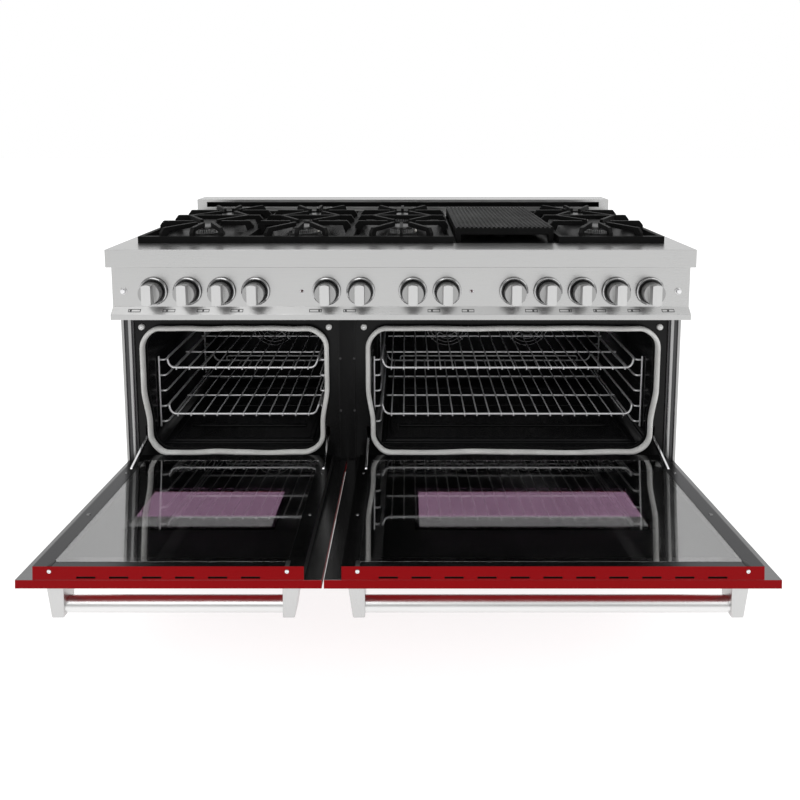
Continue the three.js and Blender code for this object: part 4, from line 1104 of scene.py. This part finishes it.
def handle(side):
    """Round bar between two tapered brackets, built in the doors' own frame."""
    left, right = HANDLE_ENDS[side]
    half = BRACKET_WIDTH / 2
    low = HANDLE_Q - HANDLE_RADIUS
    brackets = []
    for x, inner in ((left, left + half), (right, right - half)):
        bracket = block("bracket", (x - half, low, HANDLE_P - BRACKET_DEEP / 2),
                        (x + half, SKIN_OUTSIDE - 0.0003, HANDLE_P + BRACKET_DEEP / 2), BRACKET_STEEL)
        drawn_in(bracket, FORWARDS, (BRACKET_TAPER, 1, 0.9), (inner, low, HANDLE_P))
        brackets.append(ease(bracket, 0.0022, 3))
    bar = turned("bar", (0, HANDLE_Q, HANDLE_P), "X", (
        (HANDLE_RADIUS - 0.0025, left + 0.012), (HANDLE_RADIUS - 0.001, left + 0.013),
        (HANDLE_RADIUS - 0.001, right - 0.013), (HANDLE_RADIUS - 0.0025, right - 0.012)), SATIN_STEEL, 64)
    whole = hung(joined(f"{side}_door_handle_finish", [bar, *brackets]))
    fitted(whole, f"{side}_door", "satin_steel", f"{side}_door_handle")


def door_trim(side):
    """Screws on the door's top edge and inner frame, clips for its glass, and a black strip under the top
    edge's slots as painted shade.
    """
    low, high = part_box(f"{side}_door_inner_frame")
    pieces = []
    for x in TOP_SCREWS[side]:
        top = screw("screw", (x, TOP_SCREW_Q, DOOR_TOP), "Z", 0.0040, CHROME, 0.0012)
        pieces.append(top)
        pieces.append(ease(block("clip", (x - 0.0045, DOOR_INSIDE - 0.0042, DOOR_TOP - 0.016),
                                 (x + 0.0045, DOOR_INSIDE + 0.0006, DOOR_TOP - 0.0005), BLACK_AND_PAINTED_SHADE), 0.0006))
    for x in (low.x + 0.017, high.x - 0.017):
        for p in SIDE_SCREW_P:
            inner = screw("screw", (x, -DOOR_INSIDE, p), "Y", 0.0042, DOOR_STEEL, 0.0014)
            pieces.append(faced_back(inner))
    # Painted shade: a black strip under the top edge stands for the shade seen through the slots.
    pieces.append(block("slot_painted_shade", (low.x + 0.06, -0.001, DOOR_TOP - 0.008),
                        (high.x - 0.06, 0.0055, DOOR_TOP - 0.0035), BLACK_AND_PAINTED_SHADE))
    fitted(hung(joined(f"{side}_door_screws", pieces)), f"{side}_door", "chrome")


# ---------------------------------------------------------------- stand and back

def leg(name):
    """Turned leg with a threaded, flanged foot."""
    low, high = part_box(name)
    middle = (low + high) / 2
    r = (high.x - low.x) / 2
    tall = high.z - low.z
    body = turned(name + "_finish", (middle.x, middle.y, low.z), "Z", (
        (r * 0.72, 0), (r * 0.78, 0.003), (r * 0.78, 0.008), (r * 0.5, 0.012), (r * 0.46, 0.013),
        (r * 0.46, 0.024), (r * 0.72, 0.026), (r * 0.76, 0.029), (r * 0.80, tall - 0.010),
        (r * 0.84, tall - 0.006), (r * 0.98, tall - 0.005), (r * 0.98, tall)), SATIN_STEEL, 40)
    fitted(body, "cabinet", "satin_steel", name)


def back_details():
    """Pressed vents, screws, a cover plate and a gas inlet ring on the back panel."""
    low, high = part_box("back_panel")
    back = high.y
    middle = (low.x + high.x) / 2
    parts = []
    for column in (-VENT_COLUMN, VENT_COLUMN):
        for row in range(VENT_ROWS):
            z = VENT_FIRST + row * VENT_PITCH
            vent = block("vent", (middle + column - VENT_HALF, back - 0.0003, z),
                         (middle + column + VENT_HALF, back + 0.0022, z + VENT_HEIGHT), GALVANISED)
            drawn_in(vent, BACKWARDS, (0.97, 1, 0.45), (middle + column, back, z + VENT_HEIGHT))
            parts.append(ease(vent, 0.0007, 2))
    cover = block("cover", (middle - COVER_HALF, back - 0.0003, COVER_Z[0]),
                  (middle + COVER_HALF, back + 0.0018, COVER_Z[1]), GALVANISED)
    pressed(cover, BACKWARDS, (0.008, (0, 0.0008, 0)))
    parts.append(ease(cover, 0.0007, 2))
    places = [(middle + end * 0.73, z) for end in (-1, 1) for z in (0.30, 0.45, 0.60, 0.75)]
    places += [(middle + x, 0.82) for x in (-0.5, -0.25, 0, 0.25, 0.5)]
    places += [(middle + x, z) for x in (-0.08, 0.08) for z in (0.309, 0.411)]
    for x, z in places:
        parts.append(faced_back(screw("screw", (x, -back, z), "Y", 0.0042, CHROME, 0.0024)))
    inlet_x, inlet_z = INLET_PLACE
    inlet = turned("inlet", (middle + inlet_x, -back, inlet_z), "Y", INLET, SATIN_STEEL, 40)
    parts.append(faced_back(inlet))
    fitted(joined("back_fittings", parts), "cabinet", "galvanised")


# ---------------------------------------------------------------- studio

def camera():
    view = bpy.data.cameras.new("camera")
    view.lens = CAMERA_LENS
    view.sensor_width = 36
    view.shift_x, view.shift_y = CAMERA_SHIFT
    stand = bpy.data.objects.new("camera", view)
    stand.location = CAMERA_PLACE
    stand.rotation_euler = (QUARTER - CAMERA_PITCH, 0, 0)
    into_scene(stand)
    bpy.context.scene.camera = stand


def softbox(name, place, aim, size, energy):
    light = bpy.data.lights.new(name, "AREA")
    light.shape = "RECTANGLE"
    light.size, light.size_y = size
    light.energy = energy
    stand = bpy.data.objects.new(name, light)
    stand.location = place
    stand.rotation_euler = (Vector(aim) - Vector(place)).to_track_quat("-Z", "Y").to_euler()
    into_scene(stand)


def studio():
    clear_selection()
    bpy.ops.mesh.primitive_plane_add(size=40, location=(0, 0, 0))
    pale = surfaced("pale_floor", (0.35, 0.35, 0.35), 0.7, scale=30.0, shade=0.01, uneven=0.05, bump=0.02,
                    Emission_Color=(1, 1, 1), Emission_Strength=0.84, Specular_IOR_Level=0.1)
    floor = settle(newest("studio_floor", pale))
    world = bpy.data.worlds.new("studio")
    bpy.context.scene.world = world
    world.use_nodes = True
    tree = world.node_tree
    surround = tree.nodes["Background"]
    direction = node(tree, "ShaderNodeTexCoord")
    split = node(tree, "ShaderNodeSeparateXYZ", Vector=direction.outputs["Generated"])
    front = ranged(tree, split.outputs["Y"], -0.2, -0.45, 0.0, 1.0)
    rising = ranged(tree, split.outputs["Z"], 0.06, 0.14, 0.0, 1.0)
    falling = ranged(tree, split.outputs["Z"], 0.40, 0.52, 1.0, 0.0)
    band = calculated(tree, "MULTIPLY", front, calculated(tree, "MULTIPLY", rising, falling))
    shade = ranged(tree, band, 0.0, 1.0, 0.97, 0.36)
    ray = node(tree, "ShaderNodeLightPath")
    seen = calculated(tree, "MAXIMUM", shade, ray.outputs["Is Camera Ray"])
    feed(tree, surround.inputs["Color"], blended(tree, seen, (0, 0, 0), (1, 1, 1)))
    feed(tree, surround.inputs["Strength"], 1.0)
    softbox("key", (-1.3, -2.6, 2.9), (0, 0, 0.6), (2.2, 1.4), 16)
    softbox("fill", (2.4, -2.0, 1.9), (0, 0, 0.6), (1.4, 1.8), 8)
    softbox("top", (0, 0.2, 3.4), (0, 0, 0.9), (2.6, 1.6), 14)
    settings = bpy.context.scene.view_settings
    settings.view_transform = "Standard"
    settings.look = "None"


# ---------------------------------------------------------------- assembly

camera()
dress_frame()
controls()
lip_labels()
burners()
for side in SIDES:
    seal(side)
    oven_floor(side)
    handle(side)
    door_trim(side)
    for end in SIDES:
        rack_guide(side, end)
    for level in ("lower", "upper"):
        rack(side, level)
for i, x in enumerate(FAN_X):
    fan_guard(i, x)
face_trim()
for name in ("leg_front_left", "leg_front_right", "leg_rear_left", "leg_rear_right"):
    leg(name)
back_details()
studio()
